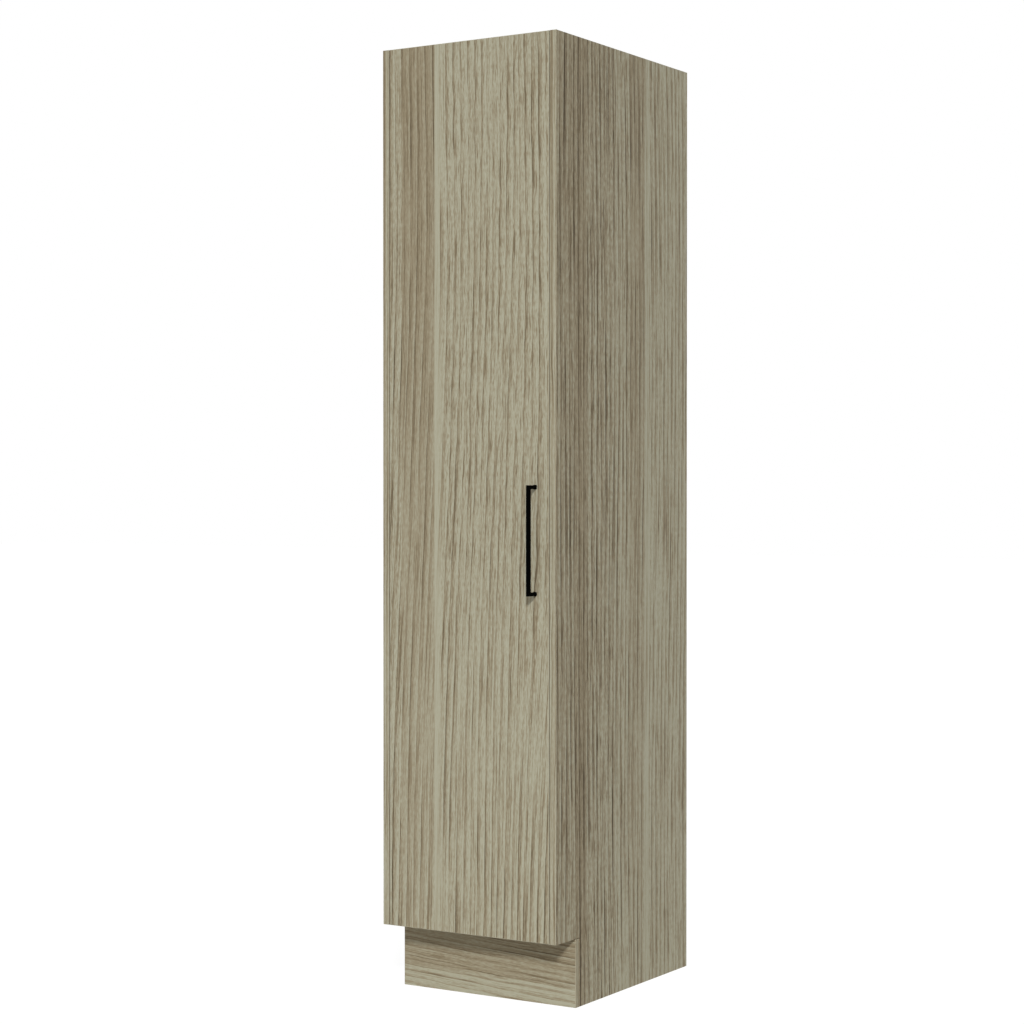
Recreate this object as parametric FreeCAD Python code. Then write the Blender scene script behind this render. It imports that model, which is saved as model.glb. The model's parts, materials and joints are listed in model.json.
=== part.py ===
import FreeCAD, Part
import math
import os

# A tall broom cupboard of coated chipboard: two side panels down to the floor, a door set between them,
# a recessed kickboard, and two shelves above the broom bay. Millimetres, +Z up, the front towards -Y,
# +X to the right of someone who faces the door. The origin is at floor level, under the middle of the
# whole outline, handle included.

# Overall sizes
WIDTH = 450.0
DEPTH = 598.0
HEIGHT = 2100.0
BOARD = 16.0
EDGING = 1.0
ARRIS = 0.8

# Toe space and kickboard
KICK_HEIGHT = 150.0
KICK_RECESS = 83.0
KICK_TOP_GAP = 1.0

# Door: the gap at each side, the gap behind it, and the soft stops in that gap
DOOR_GAP = 1.8
DOOR_REST = 4.0
BUMPER_RADIUS = 4.5
BUMPER_INSET = 24.0
BUMPER_PLAY = 0.3

# Back panel, in grooves of the side panels, and the fixing rails behind it
BACK_BOARD = 3.0
GROOVE_DEPTH = 7.0
GROOVE_PLAY = 0.1
GROOVE_END_PLAY = 0.5
RAIL_HEIGHT = 100.0
WALL_HOLE_RADIUS = 3.0
WALL_HOLE_SPACING = 300.0

# Shelves: each underside is measured down from the top of the cupboard
FIXED_SHELF_DROP = 480.0
LOOSE_SHELF_DROP = 244.0
SHELF_SETBACK = 45.0
LOOSE_SHELF_END_PLAY = 1.3
LOOSE_SHELF_BACK_PLAY = 3.0

# Shelf pins and the rows of holes that they plug into
PIN_RADIUS = 2.5
PIN_PLAY = 0.05
PIN_PLUG = 8.0
PIN_HOLE_SPARE = 1.0
PIN_FLANGE_RADIUS = 4.0
PIN_FLANGE = 1.0
PIN_PEG = 7.5
PIN_PITCH = 32.0
PIN_ROW_INSET = 60.0
PIN_ROW_STEPS = (-1, 0, 1)

# Cam locks and the bolts that they grip
CAM_RADIUS = 7.4
CAM_DEPTH = 12.4
CAM_SETBACK = 34.0
CAM_PLAY = 0.1
CAM_INSET = 70.0
CAM_SLOT_RADIUS = 2.3
CAM_CAVITY_RADIUS = 3.6
CAM_WALL = 3.2
CAM_CROSS_WIDTH = 1.6
CAM_CROSS_LENGTH = 8.0
CAM_CROSS_DEPTH = 2.0
BOLT_THREAD_RADIUS = 2.5
BOLT_THREAD = 10.5
BOLT_COLLAR_RADIUS = 3.6
BOLT_COLLAR = 2.5
BOLT_SHANK_RADIUS = 2.8
BOLT_NECK_RADIUS = 1.9
BOLT_HEAD_RADIUS = 3.2
BOLT_HEAD = 3.4
BOLT_PLAY = 0.05
BOLT_BORE_RADIUS = 4.0

# Wood dowels
DOWEL_RADIUS = 4.0
DOWEL_PLAY = 0.05
DOWEL_IN_SIDE = 10.0
DOWEL_IN_BOARD = 20.0
DOWEL_END_PLAY = 0.5
DOWEL_CHAMFER = 1.0
DOWEL_STEP = 48.0
RAIL_FIXING_OFFSET = 25.0

# Corner blocks behind the kickboard
BLOCK_LEG = 36.0
BLOCK_HEIGHT = 40.0
BLOCK_WALL = 4.0
BLOCK_RIB = 3.0
BLOCK_FLOOR_GAP = 55.0
BLOCK_SCREW_OUT = 26.0
BLOCK_SCREW_RISE = 9.0

# Wood screws of the corner blocks, hinge plates and hinge cups
SCREW_RADIUS = 2.0
SCREW_LENGTH = 14.0
SCREW_HEAD_RADIUS = 3.8
SCREW_HEAD = 2.0
SCREW_POINT = 3.0
SCREW_PLAY = 0.05

# Handle, a square bar bent into a D
HANDLE_LENGTH = 237.0
HANDLE_REACH = 31.0
HANDLE_BAR = 8.0
HANDLE_MIDDLE = 1013.0
HANDLE_INSET = 34.7
HANDLE_ROUNDING = 1.2
HANDLE_EDGE = 0.5
HANDLE_INNER_RADIUS = 4.0
HANDLE_SCREW_RADIUS = 2.0
HANDLE_SCREW_GRIP = 9.0
HANDLE_SCREW_PLAY = 0.05
HANDLE_SCREW_HEAD_RADIUS = 4.0
HANDLE_SCREW_HEAD = 2.2

# Concealed hinges: four cast cups in the door, each with one pin, and a C-shaped arm from the side panel
HINGE_COUNT = 4
HINGE_END_INSET = 100.0
HINGE_PIN_FROM_EDGE = 9.8
HINGE_PIN_FROM_FACE = 5.9
HINGE_PIN_RADIUS = 1.25
HINGE_PIN_PLAY = 0.05
HINGE_PIN_LENGTH = 23.6
EYE_RADIUS = 2.2
EYE_CLEARANCE = 0.3
CUP_RADIUS = 17.4
CUP_BORE_PLAY = 0.1
CUP_EDGE_DISTANCE = 3.4
CUP_FLOOR = 0.7
CUP_WALL = 0.8
CUP_FLANGE = 1.2
CUP_FLANGE_RADIUS = 19.4
CUP_EAR_RADIUS = 6.5
CUP_EAR_SPACING = 48.0
CUP_EAR_OFFSET = 6.0
CUP_SCREW_LENGTH = 12.0
ARM_THICK = 3.0
ARM_WIDE = 12.0
ARM_SIDE_PLAY = 0.4
ARM_RUN = 14.4
ARM_START_ANGLE = 3.0
ARM_RETURN = 22.2
ARM_HEEL_RADIUS = 4.0
ARM_FOOT_END = 76.0
PLATE_THICK = 4.0
PLATE_START = 32.0
PLATE_END = 74.0
PLATE_BODY_WIDE = 16.0
PLATE_WING_CENTRE = 54.0
PLATE_WING_DEEP = 14.0
PLATE_WING_WIDE = 46.0
PLATE_SCREW_SPACING = 32.0
ARM_SCREW_PLACES = (42.0, 66.0)
ARM_SCREW_RADIUS = 2.4
ARM_SCREW_HEAD_RADIUS = 4.2
ARM_SCREW_HEAD = 2.2
ARM_SCREW_PLAY = 0.05

# Levels and faces worked out from the sizes above
FRONT = HANDLE_REACH - (DEPTH + HANDLE_REACH) / 2
BACK = FRONT + DEPTH
SIDE_OUTER = WIDTH / 2
SIDE_INNER = SIDE_OUTER - BOARD
DOOR_LEFT = -SIDE_INNER + DOOR_GAP
DOOR_RIGHT = SIDE_INNER - DOOR_GAP
DOOR_BACK = FRONT + BOARD
CARCASS_FRONT = DOOR_BACK + DOOR_REST
KICK_FRONT = FRONT + KICK_RECESS
KICK_BACK = KICK_FRONT + BOARD
KICK_TOP = KICK_HEIGHT - KICK_TOP_GAP
RAIL_FRONT = BACK - BOARD
BACK_PANEL_FRONT = RAIL_FRONT - BACK_BOARD
TOP_UNDERSIDE = HEIGHT - BOARD
FIXED_SHELF_UNDERSIDE = HEIGHT - FIXED_SHELF_DROP
LOOSE_SHELF_UNDERSIDE = HEIGHT - LOOSE_SHELF_DROP
SHELF_FRONT = FRONT + SHELF_SETBACK
LOOSE_SHELF_BACK = BACK_PANEL_FRONT - LOOSE_SHELF_BACK_PLAY
RAIL_MIDDLE_Y = RAIL_FRONT + BOARD / 2
UPPER_RAIL_MIDDLE = HEIGHT - RAIL_HEIGHT / 2
LOWER_RAIL_MIDDLE = KICK_HEIGHT + RAIL_HEIGHT / 2
HANDLE_X = DOOR_RIGHT - HANDLE_INSET
PIVOT_X = DOOR_LEFT + HINGE_PIN_FROM_EDGE
PIVOT_Y = FRONT + HINGE_PIN_FROM_FACE
CUP_X = DOOR_LEFT + CUP_EDGE_DISTANCE + CUP_RADIUS + CUP_BORE_PLAY
CUP_BOTTOM = PIVOT_Y - EYE_RADIUS - EYE_CLEARANCE
SLOT_HALF = ARM_WIDE / 2 + ARM_SIDE_PLAY
HINGE_SPAN = HEIGHT - KICK_HEIGHT - 2 * HINGE_END_INSET

X = FreeCAD.Vector(1, 0, 0)
Y = FreeCAD.Vector(0, 1, 0)
Z = FreeCAD.Vector(0, 0, 1)
SIDES = (-1, 1)


def at(x, y, z):
    """A point of the cupboard."""
    return FreeCAD.Vector(x, y, z)


def block(x0, x1, y0, y1, z0, z1):
    """A board or block between two corners."""
    return Part.makeBox(x1 - x0, y1 - y0, z1 - z0, at(x0, y0, z0))


def rod(radius, start, direction, length):
    """A round bar, or the tool that drills one."""
    return Part.makeCylinder(radius, length, start, direction)


def turned(outline, start, direction):
    """A lathe-turned piece: outline lists (distance along the axis, radius) from end to end."""
    first = FreeCAD.Vector(0, 0, outline[0][0])
    last = FreeCAD.Vector(0, 0, outline[-1][0])
    rim = [FreeCAD.Vector(radius, 0, along) for along, radius in outline]
    face = Part.Face(Part.makePolygon([first] + rim + [last, first]))
    solid = face.revolve(FreeCAD.Vector(0, 0, 0), Z, 360)
    solid.Placement = FreeCAD.Placement(start, FreeCAD.Rotation(Z, direction))
    return solid


def cut_all(shape, tools):
    """The shape with every tool taken out of it."""
    return shape.cut(Part.makeCompound(tools)) if tools else shape


def long_edges(shape, direction, keep):
    """The edges along a direction whose midpoint passes the keep test."""
    found = []
    for edge in shape.Edges:
        run = edge.Vertexes[-1].Point - edge.Vertexes[0].Point
        if run.Length > 0 and abs(run.normalize() * direction) > 0.999 and keep(edge.CenterOfMass):
            found.append(edge)
    return found


def edging_strip(x0, x1, y0, y1, z0, z1, along, keep):
    """A glued edging strip with its outer arrises softened."""
    strip = block(x0, x1, y0, y1, z0, z1)
    softening = min(ARRIS, 0.8 * EDGING)
    return strip.makeFillet(softening, long_edges(strip, along, keep))


def save(node, solids):
    """Write one node, a single piece or a group of like pieces."""
    shape = solids[0] if len(solids) == 1 else Part.makeCompound(solids)
    shape.exportStep("parts/" + node + ".step")


# Places of the fittings

def spread(count, first, span):
    """Evenly spaced places from first over span."""
    return [first + span * step / (count - 1) for step in range(count)]


HINGE_HEIGHTS = spread(HINGE_COUNT, KICK_HEIGHT + HINGE_END_INSET, HINGE_SPAN)


def board_fixings(middle_z, front, pocket_side):
    """Cam and dowel places at the ends of a level board: (y, z, side of the cam's pocket)."""
    near = front + CAM_INSET
    far = BACK_PANEL_FRONT - CAM_INSET
    cams = [(near, middle_z, pocket_side), (far, middle_z, pocket_side)]
    dowels = [(near + DOWEL_STEP, middle_z), (far - DOWEL_STEP, middle_z)]
    return cams, dowels


def rail_fixings(middle_z):
    """Cam and dowel places at the ends of an upright fixing rail."""
    cams = [(RAIL_MIDDLE_Y, middle_z + RAIL_FIXING_OFFSET, Y)]
    dowels = [(RAIL_MIDDLE_Y, middle_z - RAIL_FIXING_OFFSET)]
    return cams, dowels


FIXINGS = {
    "top_panel": board_fixings(HEIGHT - BOARD / 2, CARCASS_FRONT, Z),
    "bottom_panel": board_fixings(KICK_HEIGHT + BOARD / 2, CARCASS_FRONT, -Z),
    "fixed_shelf": board_fixings(FIXED_SHELF_UNDERSIDE + BOARD / 2, SHELF_FRONT, -Z),
    "upper_fixing_rail": rail_fixings(UPPER_RAIL_MIDDLE),
    "lower_fixing_rail": rail_fixings(LOWER_RAIL_MIDDLE),
}
PIN_HEIGHT = LOOSE_SHELF_UNDERSIDE - PIN_RADIUS - PIN_PLAY
PIN_ROWS = (SHELF_FRONT + PIN_ROW_INSET, LOOSE_SHELF_BACK - PIN_ROW_INSET)
BLOCK_SCREW_HEIGHTS = (
    BLOCK_FLOOR_GAP + BLOCK_HEIGHT / 2 - BLOCK_SCREW_RISE,
    BLOCK_FLOOR_GAP + BLOCK_HEIGHT / 2 + BLOCK_SCREW_RISE,
)


# Fittings

def bolt_tools(side, y, z):
    """The thread hole in a side panel and the bore in the board's end for one cam bolt."""
    face = at(side * SIDE_INNER, y, z)
    thread = rod(BOLT_THREAD_RADIUS + BOLT_PLAY, face, X * side, BOLT_THREAD + BOLT_PLAY)
    bore = rod(BOLT_BORE_RADIUS, face, X * -side, CAM_SETBACK)
    return thread, bore


def cam_bolt(side, y, z):
    """A cam bolt, screwed into the side panel, with its head inside the cam."""
    neck_start = CAM_SETBACK - CAM_RADIUS - BOLT_COLLAR / 2
    head_start = CAM_SETBACK - BOLT_HEAD + BOLT_NECK_RADIUS / 2
    outline = [
        (-BOLT_THREAD, BOLT_THREAD_RADIUS),
        (0, BOLT_THREAD_RADIUS),
        (0, BOLT_COLLAR_RADIUS),
        (BOLT_COLLAR, BOLT_COLLAR_RADIUS),
        (BOLT_COLLAR, BOLT_SHANK_RADIUS),
        (neck_start, BOLT_SHANK_RADIUS),
        (neck_start, BOLT_NECK_RADIUS),
        (head_start, BOLT_NECK_RADIUS),
        (head_start, BOLT_HEAD_RADIUS),
        (head_start + BOLT_HEAD, BOLT_HEAD_RADIUS),
    ]
    return turned(outline, at(side * SIDE_INNER, y, z), X * -side)


def cam_pocket(side, y, z, pocket_side):
    """The tool that bores a cam's pocket from the board's hidden face."""
    centre = at(side * (SIDE_INNER - CAM_SETBACK), y, z)
    face = centre + pocket_side * (BOARD / 2)
    return rod(CAM_RADIUS + CAM_PLAY, face, pocket_side * -1, CAM_DEPTH)


def cam_lock(side, y, z, pocket_side):
    """A cam: a disc with a hooked slot for the bolt and a cross recess for the driver."""
    centre = at(side * (SIDE_INNER - CAM_SETBACK), y, z)
    face = centre + pocket_side * (BOARD / 2)
    body = rod(CAM_RADIUS, face, pocket_side * -1, CAM_DEPTH)
    inner_wall = centre + X * (side * (CAM_RADIUS - CAM_WALL))
    slot = rod(CAM_SLOT_RADIUS, centre, X * side, CAM_RADIUS + CAM_WALL)
    cavity = rod(CAM_CAVITY_RADIUS, inner_wall, X * -side, CAM_RADIUS)
    across = pocket_side.cross(X)
    recess = []
    for long_way, short_way in ((X, across), (across, X)):
        corner = face - long_way * (CAM_CROSS_LENGTH / 2) - short_way * (CAM_CROSS_WIDTH / 2)
        bar = Part.makeBox(CAM_CROSS_LENGTH, CAM_CROSS_WIDTH, CAM_CROSS_DEPTH)
        turn = FreeCAD.Rotation(long_way, short_way, pocket_side, "XZY")
        lift = pocket_side * (-CAM_CROSS_DEPTH if long_way.cross(short_way) * pocket_side > 0 else 0)
        bar.Placement = FreeCAD.Placement(corner + lift, turn)
        recess.append(bar)
    return cut_all(body, [slot, cavity] + recess)


def dowel_tools(side, y, z):
    """The two halves of one dowel's hole: in the side panel and in the board's end."""
    face = at(side * SIDE_INNER, y, z)
    radius = DOWEL_RADIUS + DOWEL_PLAY
    in_side = rod(radius, face, X * side, DOWEL_IN_SIDE + DOWEL_END_PLAY)
    in_board = rod(radius, face, X * -side, DOWEL_IN_BOARD + DOWEL_END_PLAY)
    return in_side, in_board


def dowel(side, y, z):
    """A wood dowel with chamfered ends."""
    outline = [
        (-DOWEL_IN_SIDE, DOWEL_RADIUS - DOWEL_CHAMFER),
        (DOWEL_CHAMFER - DOWEL_IN_SIDE, DOWEL_RADIUS),
        (DOWEL_IN_BOARD - DOWEL_CHAMFER, DOWEL_RADIUS),
        (DOWEL_IN_BOARD, DOWEL_RADIUS - DOWEL_CHAMFER),
    ]
    return turned(outline, at(side * SIDE_INNER, y, z), X * -side)


def shelf_pin(side, y, z):
    """A shelf pin: plug, flange and the peg that the shelf lies on."""
    outline = [
        (-PIN_PLUG, PIN_RADIUS),
        (0, PIN_RADIUS),
        (0, PIN_FLANGE_RADIUS),
        (PIN_FLANGE, PIN_FLANGE_RADIUS),
        (PIN_FLANGE, PIN_RADIUS),
        (PIN_FLANGE + PIN_PEG, PIN_RADIUS),
    ]
    return turned(outline, at(side * SIDE_INNER, y, z), X * -side)


def wood_screw(seat, direction, length):
    """A pan-head wood screw whose head sits on seat and whose point goes along direction."""
    outline = [
        (-SCREW_HEAD, SCREW_HEAD_RADIUS / 2),
        (-SCREW_HEAD / 2, SCREW_HEAD_RADIUS),
        (0, SCREW_HEAD_RADIUS),
        (0, SCREW_RADIUS),
        (length - SCREW_POINT, SCREW_RADIUS),
        (length, SCREW_RADIUS / 4),
    ]
    return turned(outline, seat, direction)


def screw_hole(seat, direction, length):
    """The pilot hole of a wood screw."""
    return rod(SCREW_RADIUS + SCREW_PLAY, seat, direction, length + SCREW_PLAY)


def block_screw_seats(side):
    """The head seats of one corner block's screws and the way that they point."""
    inner = side * SIDE_INNER
    seats = []
    for z in BLOCK_SCREW_HEIGHTS:
        to_kick = at(inner - side * BLOCK_SCREW_OUT, KICK_BACK + BLOCK_WALL, z)
        to_side = at(inner - side * BLOCK_WALL, KICK_BACK + BLOCK_SCREW_OUT, z)
        seats.append((to_kick, Y * -1))
        seats.append((to_side, X * side))
    return seats


def corner_block(side):
    """A moulded corner block: two walls with a triangular rib at each end."""
    inner = side * SIDE_INNER
    z0 = BLOCK_FLOOR_GAP
    corner = at(inner, KICK_BACK, z0)
    walls = [
        corner,
        corner - X * (side * BLOCK_LEG),
        corner + at(-side * BLOCK_LEG, BLOCK_WALL, 0),
        corner + at(-side * BLOCK_WALL, BLOCK_WALL, 0),
        corner + at(-side * BLOCK_WALL, BLOCK_LEG, 0),
        corner + Y * BLOCK_LEG,
    ]
    body = Part.Face(Part.makePolygon(walls + [corner])).extrude(Z * BLOCK_HEIGHT)
    web = Part.Face(Part.makePolygon([walls[0], walls[1], walls[2], walls[4], walls[5], walls[0]]))
    for lift in (0, BLOCK_HEIGHT - BLOCK_RIB):
        rib = web.extrude(Z * BLOCK_RIB)
        rib.translate(Z * lift)
        body = body.fuse(rib)
    holes = [screw_hole(seat - way * BLOCK_WALL, way, 3 * BLOCK_WALL) for seat, way in block_screw_seats(side)]
    return cut_all(body, holes).removeSplitter()


# Hinges

def hinge_point(from_side, from_face, z):
    """A point by its distance from the left side panel's inner face and from the door's front."""
    return at(-SIDE_INNER + from_side, FRONT + from_face, z)


def bent_line(points, radii):
    """A path of straight runs with a tangent arc at each inner point."""
    edges = []
    begin = points[0]
    for before, corner, after, radius in zip(points, points[1:], points[2:], radii):
        back = (before - corner).normalize()
        ahead = (after - corner).normalize()
        half = back.getAngle(ahead) / 2
        reach = radius / math.tan(half)
        middle = (back + ahead).normalize() * (radius / math.sin(half) - radius)
        arc_start = corner + back * reach
        arc_end = corner + ahead * reach
        edges.append(Part.LineSegment(begin, arc_start).toShape())
        edges.append(Part.Arc(arc_start, corner + middle, arc_end).toShape())
        begin = arc_end
    edges.append(Part.LineSegment(begin, points[-1]).toShape())
    return Part.Wire(edges)


def plate_screw_seats(z):
    """The head seats of one hinge plate's two screws."""
    return [hinge_point(PLATE_THICK, PLATE_WING_CENTRE, z + step * PLATE_SCREW_SPACING / 2) for step in SIDES]


def cup_screw_seats(z):
    """The head seats of one hinge cup's two screws."""
    y = DOOR_BACK + CUP_FLANGE
    return [at(CUP_X + CUP_EAR_OFFSET, y, z + step * CUP_EAR_SPACING / 2) for step in SIDES]


def arm_screw_hole(place, z):
    """The hole of one arm screw, through the arm's foot and the plate."""
    start = hinge_point(0, place, z)
    return rod(ARM_SCREW_RADIUS + ARM_SCREW_PLAY, start, X, PLATE_THICK + ARM_THICK)


def hinge_plate(z):
    """A mounting plate: a long body under the arm's foot with a wing above and below it."""
    wall = -SIDE_INNER
    half_body = PLATE_BODY_WIDE / 2
    half_wing = PLATE_WING_WIDE / 2
    body = block(wall, wall + PLATE_THICK, FRONT + PLATE_START, FRONT + PLATE_END, z - half_body, z + half_body)
    wing_start = FRONT + PLATE_WING_CENTRE - PLATE_WING_DEEP / 2
    wing = block(wall, wall + PLATE_THICK, wing_start, wing_start + PLATE_WING_DEEP, z - half_wing, z + half_wing)
    wing = wing.makeFillet(PLATE_WING_DEEP / 2.2, long_edges(wing, X, lambda middle: True))
    holes = [screw_hole(seat - X * PLATE_THICK, X, PLATE_THICK) for seat in plate_screw_seats(z)]
    holes += [arm_screw_hole(place, z) for place in ARM_SCREW_PLACES]
    return cut_all(body.fuse(wing), holes).removeSplitter()


def hinge_arm(z):
    """The C-shaped arm: an eye round the pin, a run along the cup's floor, a U-bend and a foot."""
    slant = math.radians(ARM_START_ANGLE)
    pin = at(PIVOT_X, PIVOT_Y, z)
    bend_start = pin + at(math.cos(slant), math.sin(slant), 0) * ARM_RUN
    return_y = FRONT + ARM_RETURN
    bend = (return_y - bend_start.y) / (1 + math.cos(slant))
    centre = at(bend_start.x - bend * math.sin(slant), return_y - bend, z)
    bend_end = at(centre.x, return_y, z)
    heel = hinge_point(PLATE_THICK + ARM_THICK / 2, ARM_RETURN, z)
    toe = hinge_point(PLATE_THICK + ARM_THICK / 2, ARM_FOOT_END, z)
    tail = bent_line([bend_end, heel, toe], [ARM_HEEL_RADIUS])
    path = [
        Part.LineSegment(pin, bend_start).toShape(),
        Part.Arc(bend_start, centre + X * bend, bend_end).toShape(),
    ]
    strip = [
        pin + at(math.sin(slant), -math.cos(slant), 0) * (ARM_THICK / 2) - Z * (ARM_WIDE / 2),
        pin + at(-math.sin(slant), math.cos(slant), 0) * (ARM_THICK / 2) - Z * (ARM_WIDE / 2),
    ]
    section = Part.makePolygon([strip[0], strip[1], strip[1] + Z * ARM_WIDE, strip[0] + Z * ARM_WIDE, strip[0]])
    arm = Part.Wire(path + tail.Edges).makePipeShell([section], True, False)
    low = pin - Z * (ARM_WIDE / 2)
    arm = arm.fuse(rod(EYE_RADIUS, low, Z, ARM_WIDE))
    holes = [rod(HINGE_PIN_RADIUS + HINGE_PIN_PLAY, low, Z, ARM_WIDE)]
    holes += [arm_screw_hole(place, z) for place in ARM_SCREW_PLACES]
    return cut_all(arm, holes)


def arm_screw(place, z):
    """A screw through the arm's foot into the mounting plate."""
    outline = [
        (-ARM_SCREW_HEAD, ARM_SCREW_HEAD_RADIUS),
        (0, ARM_SCREW_HEAD_RADIUS),
        (0, ARM_SCREW_RADIUS),
        (ARM_THICK + PLATE_THICK, ARM_SCREW_RADIUS),
    ]
    return turned(outline, hinge_point(PLATE_THICK + ARM_THICK, place, z), X * -1)


def hinge_cup(z):
    """A cast cup in the door: a puck with a flange, two ears and the slot that the arm swings in."""
    floor = CUP_BOTTOM - CUP_FLOOR
    flange_back = DOOR_BACK + CUP_FLANGE
    puck = rod(CUP_RADIUS, at(CUP_X, floor, z), Y, flange_back - floor)
    flange = rod(CUP_FLANGE_RADIUS, at(CUP_X, DOOR_BACK, z), Y, CUP_FLANGE)
    ear_x = CUP_X + CUP_EAR_OFFSET
    half = CUP_EAR_SPACING / 2
    bar = block(
        ear_x - CUP_EAR_RADIUS, ear_x + CUP_EAR_RADIUS, DOOR_BACK, flange_back, z - half, z + half
    )
    ears = [rod(CUP_EAR_RADIUS, at(ear_x, DOOR_BACK, z + step * half), Y, CUP_FLANGE) for step in SIDES]
    body = puck.multiFuse([flange, bar] + ears).removeSplitter()
    reach = math.sqrt((CUP_RADIUS - CUP_WALL) ** 2 - SLOT_HALF ** 2)
    slot = block(CUP_X - reach, CUP_X + reach, CUP_BOTTOM, flange_back, z - SLOT_HALF, z + SLOT_HALF)
    half_pin = HINGE_PIN_LENGTH / 2
    pin_hole = rod(HINGE_PIN_RADIUS + HINGE_PIN_PLAY, at(PIVOT_X, PIVOT_Y, z - half_pin), Z, HINGE_PIN_LENGTH)
    holes = [screw_hole(seat, Y * -1, CUP_FLANGE) for seat in cup_screw_seats(z)]
    return cut_all(body, [slot, pin_hole] + holes)


def cup_bore(z):
    """The bore for one hinge cup and the pilot holes of its screws, from the door's back."""
    depth = DOOR_BACK - CUP_BOTTOM + CUP_FLOOR + CUP_BORE_PLAY
    bore = rod(CUP_RADIUS + CUP_BORE_PLAY, at(CUP_X, DOOR_BACK, z), Y * -1, depth)
    return [bore] + [screw_hole(seat, Y * -1, CUP_SCREW_LENGTH) for seat in cup_screw_seats(z)]


# Boards

def side_panel(side):
    """A side panel with its toe notch, the back panel's groove and its drilled holes."""
    inner = side * SIDE_INNER
    front = FRONT + EDGING
    profile = [
        at(inner, front, KICK_HEIGHT),
        at(inner, front, HEIGHT),
        at(inner, BACK, HEIGHT),
        at(inner, BACK, 0),
        at(inner, KICK_BACK, 0),
        at(inner, KICK_BACK, KICK_HEIGHT),
    ]
    panel = Part.Face(Part.makePolygon(profile + profile[:1])).extrude(X * (side * BOARD))
    groove_x = sorted((inner, inner + side * GROOVE_DEPTH))
    groove_front = BACK_PANEL_FRONT - GROOVE_PLAY
    tools = [block(groove_x[0], groove_x[1], groove_front, RAIL_FRONT + GROOVE_PLAY, 0, HEIGHT)]
    for cams, dowels in FIXINGS.values():
        tools += [bolt_tools(side, y, z)[0] for y, z, pocket_side in cams]
        tools += [dowel_tools(side, y, z)[0] for y, z in dowels]
    for y in PIN_ROWS:
        for step in PIN_ROW_STEPS:
            start = at(inner, y, PIN_HEIGHT + step * PIN_PITCH)
            tools.append(rod(PIN_RADIUS + PIN_PLAY, start, X * side, PIN_PLUG + PIN_HOLE_SPARE))
    for seat, way in block_screw_seats(side):
        if abs(way.x) > 0:
            tools.append(screw_hole(seat, way, SCREW_LENGTH))
    if side < 0:
        for z in HINGE_HEIGHTS:
            tools += [screw_hole(seat, X * -1, SCREW_LENGTH) for seat in plate_screw_seats(z)]
    return cut_all(panel, tools)


def level_board(node, front, underside):
    """A board between the side panels, held by cams and dowels."""
    board = block(-SIDE_INNER, SIDE_INNER, front + EDGING, BACK_PANEL_FRONT, underside, underside + BOARD)
    return cut_all(board, end_tools(node))


def fixing_rail(node, middle_z):
    """A rail behind the back panel, with the wall screw holes."""
    low = middle_z - RAIL_HEIGHT / 2
    rail = block(-SIDE_INNER, SIDE_INNER, RAIL_FRONT, BACK, low, low + RAIL_HEIGHT)
    return cut_all(rail, end_tools(node) + wall_holes(middle_z, RAIL_FRONT, BOARD))


def wall_holes(middle_z, start, length):
    """The two wall screw holes at one rail's height."""
    half = WALL_HOLE_SPACING / 2
    return [rod(WALL_HOLE_RADIUS, at(side * half, start, middle_z), Y, length) for side in SIDES]


def end_tools(node):
    """Everything that is bored into a board's two ends for its cams and dowels."""
    cams, dowels = FIXINGS[node]
    tools = []
    for side in SIDES:
        for y, z, pocket_side in cams:
            tools.append(bolt_tools(side, y, z)[1])
            tools.append(cam_pocket(side, y, z, pocket_side))
        tools += [dowel_tools(side, y, z)[1] for y, z in dowels]
    return tools


def loose_shelf():
    """The adjustable shelf, which lies on its four pins."""
    half = SIDE_INNER - LOOSE_SHELF_END_PLAY
    top = LOOSE_SHELF_UNDERSIDE + BOARD
    return block(-half, half, SHELF_FRONT + EDGING, LOOSE_SHELF_BACK, LOOSE_SHELF_UNDERSIDE, top)


def back_panel():
    """The thin back, in the side panels' grooves."""
    half = SIDE_INNER + GROOVE_DEPTH - GROOVE_END_PLAY
    panel = block(-half, half, BACK_PANEL_FRONT, RAIL_FRONT, KICK_HEIGHT, HEIGHT)
    holes = []
    for middle_z in (UPPER_RAIL_MIDDLE, LOWER_RAIL_MIDDLE):
        holes += wall_holes(middle_z, BACK_PANEL_FRONT, BACK_BOARD)
    return cut_all(panel, holes)


def kickboard():
    """The kickboard, in front of the side panels' notches, with the corner blocks' pilot holes."""
    half = SIDE_OUTER - EDGING
    board = block(-half, half, KICK_FRONT, KICK_BACK, 0, KICK_TOP)
    holes = []
    for side in SIDES:
        for seat, way in block_screw_seats(side):
            if abs(way.y) > 0:
                holes.append(screw_hole(seat, way, SCREW_LENGTH))
    return cut_all(board, holes)


def door_panel():
    """The door's core, with the hinge bores and the handle's screw holes."""
    panel = block(
        DOOR_LEFT + EDGING, DOOR_RIGHT - EDGING, FRONT, DOOR_BACK, KICK_HEIGHT + EDGING, HEIGHT - EDGING
    )
    tools = []
    for z in HINGE_HEIGHTS:
        tools += cup_bore(z)
    tools += [rod(HANDLE_SCREW_RADIUS + HANDLE_SCREW_PLAY, at(HANDLE_X, FRONT, z), Y, BOARD) for z in handle_legs()]
    return cut_all(panel, tools)


# Edging

def side_edging(side):
    """The strip on a side panel's front edge."""
    x0, x1 = sorted((side * SIDE_INNER, side * SIDE_OUTER))
    outer = FRONT + EDGING / 2
    return edging_strip(x0, x1, FRONT, FRONT + EDGING, KICK_HEIGHT, HEIGHT, Z, lambda middle: middle.y < outer)


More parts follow.
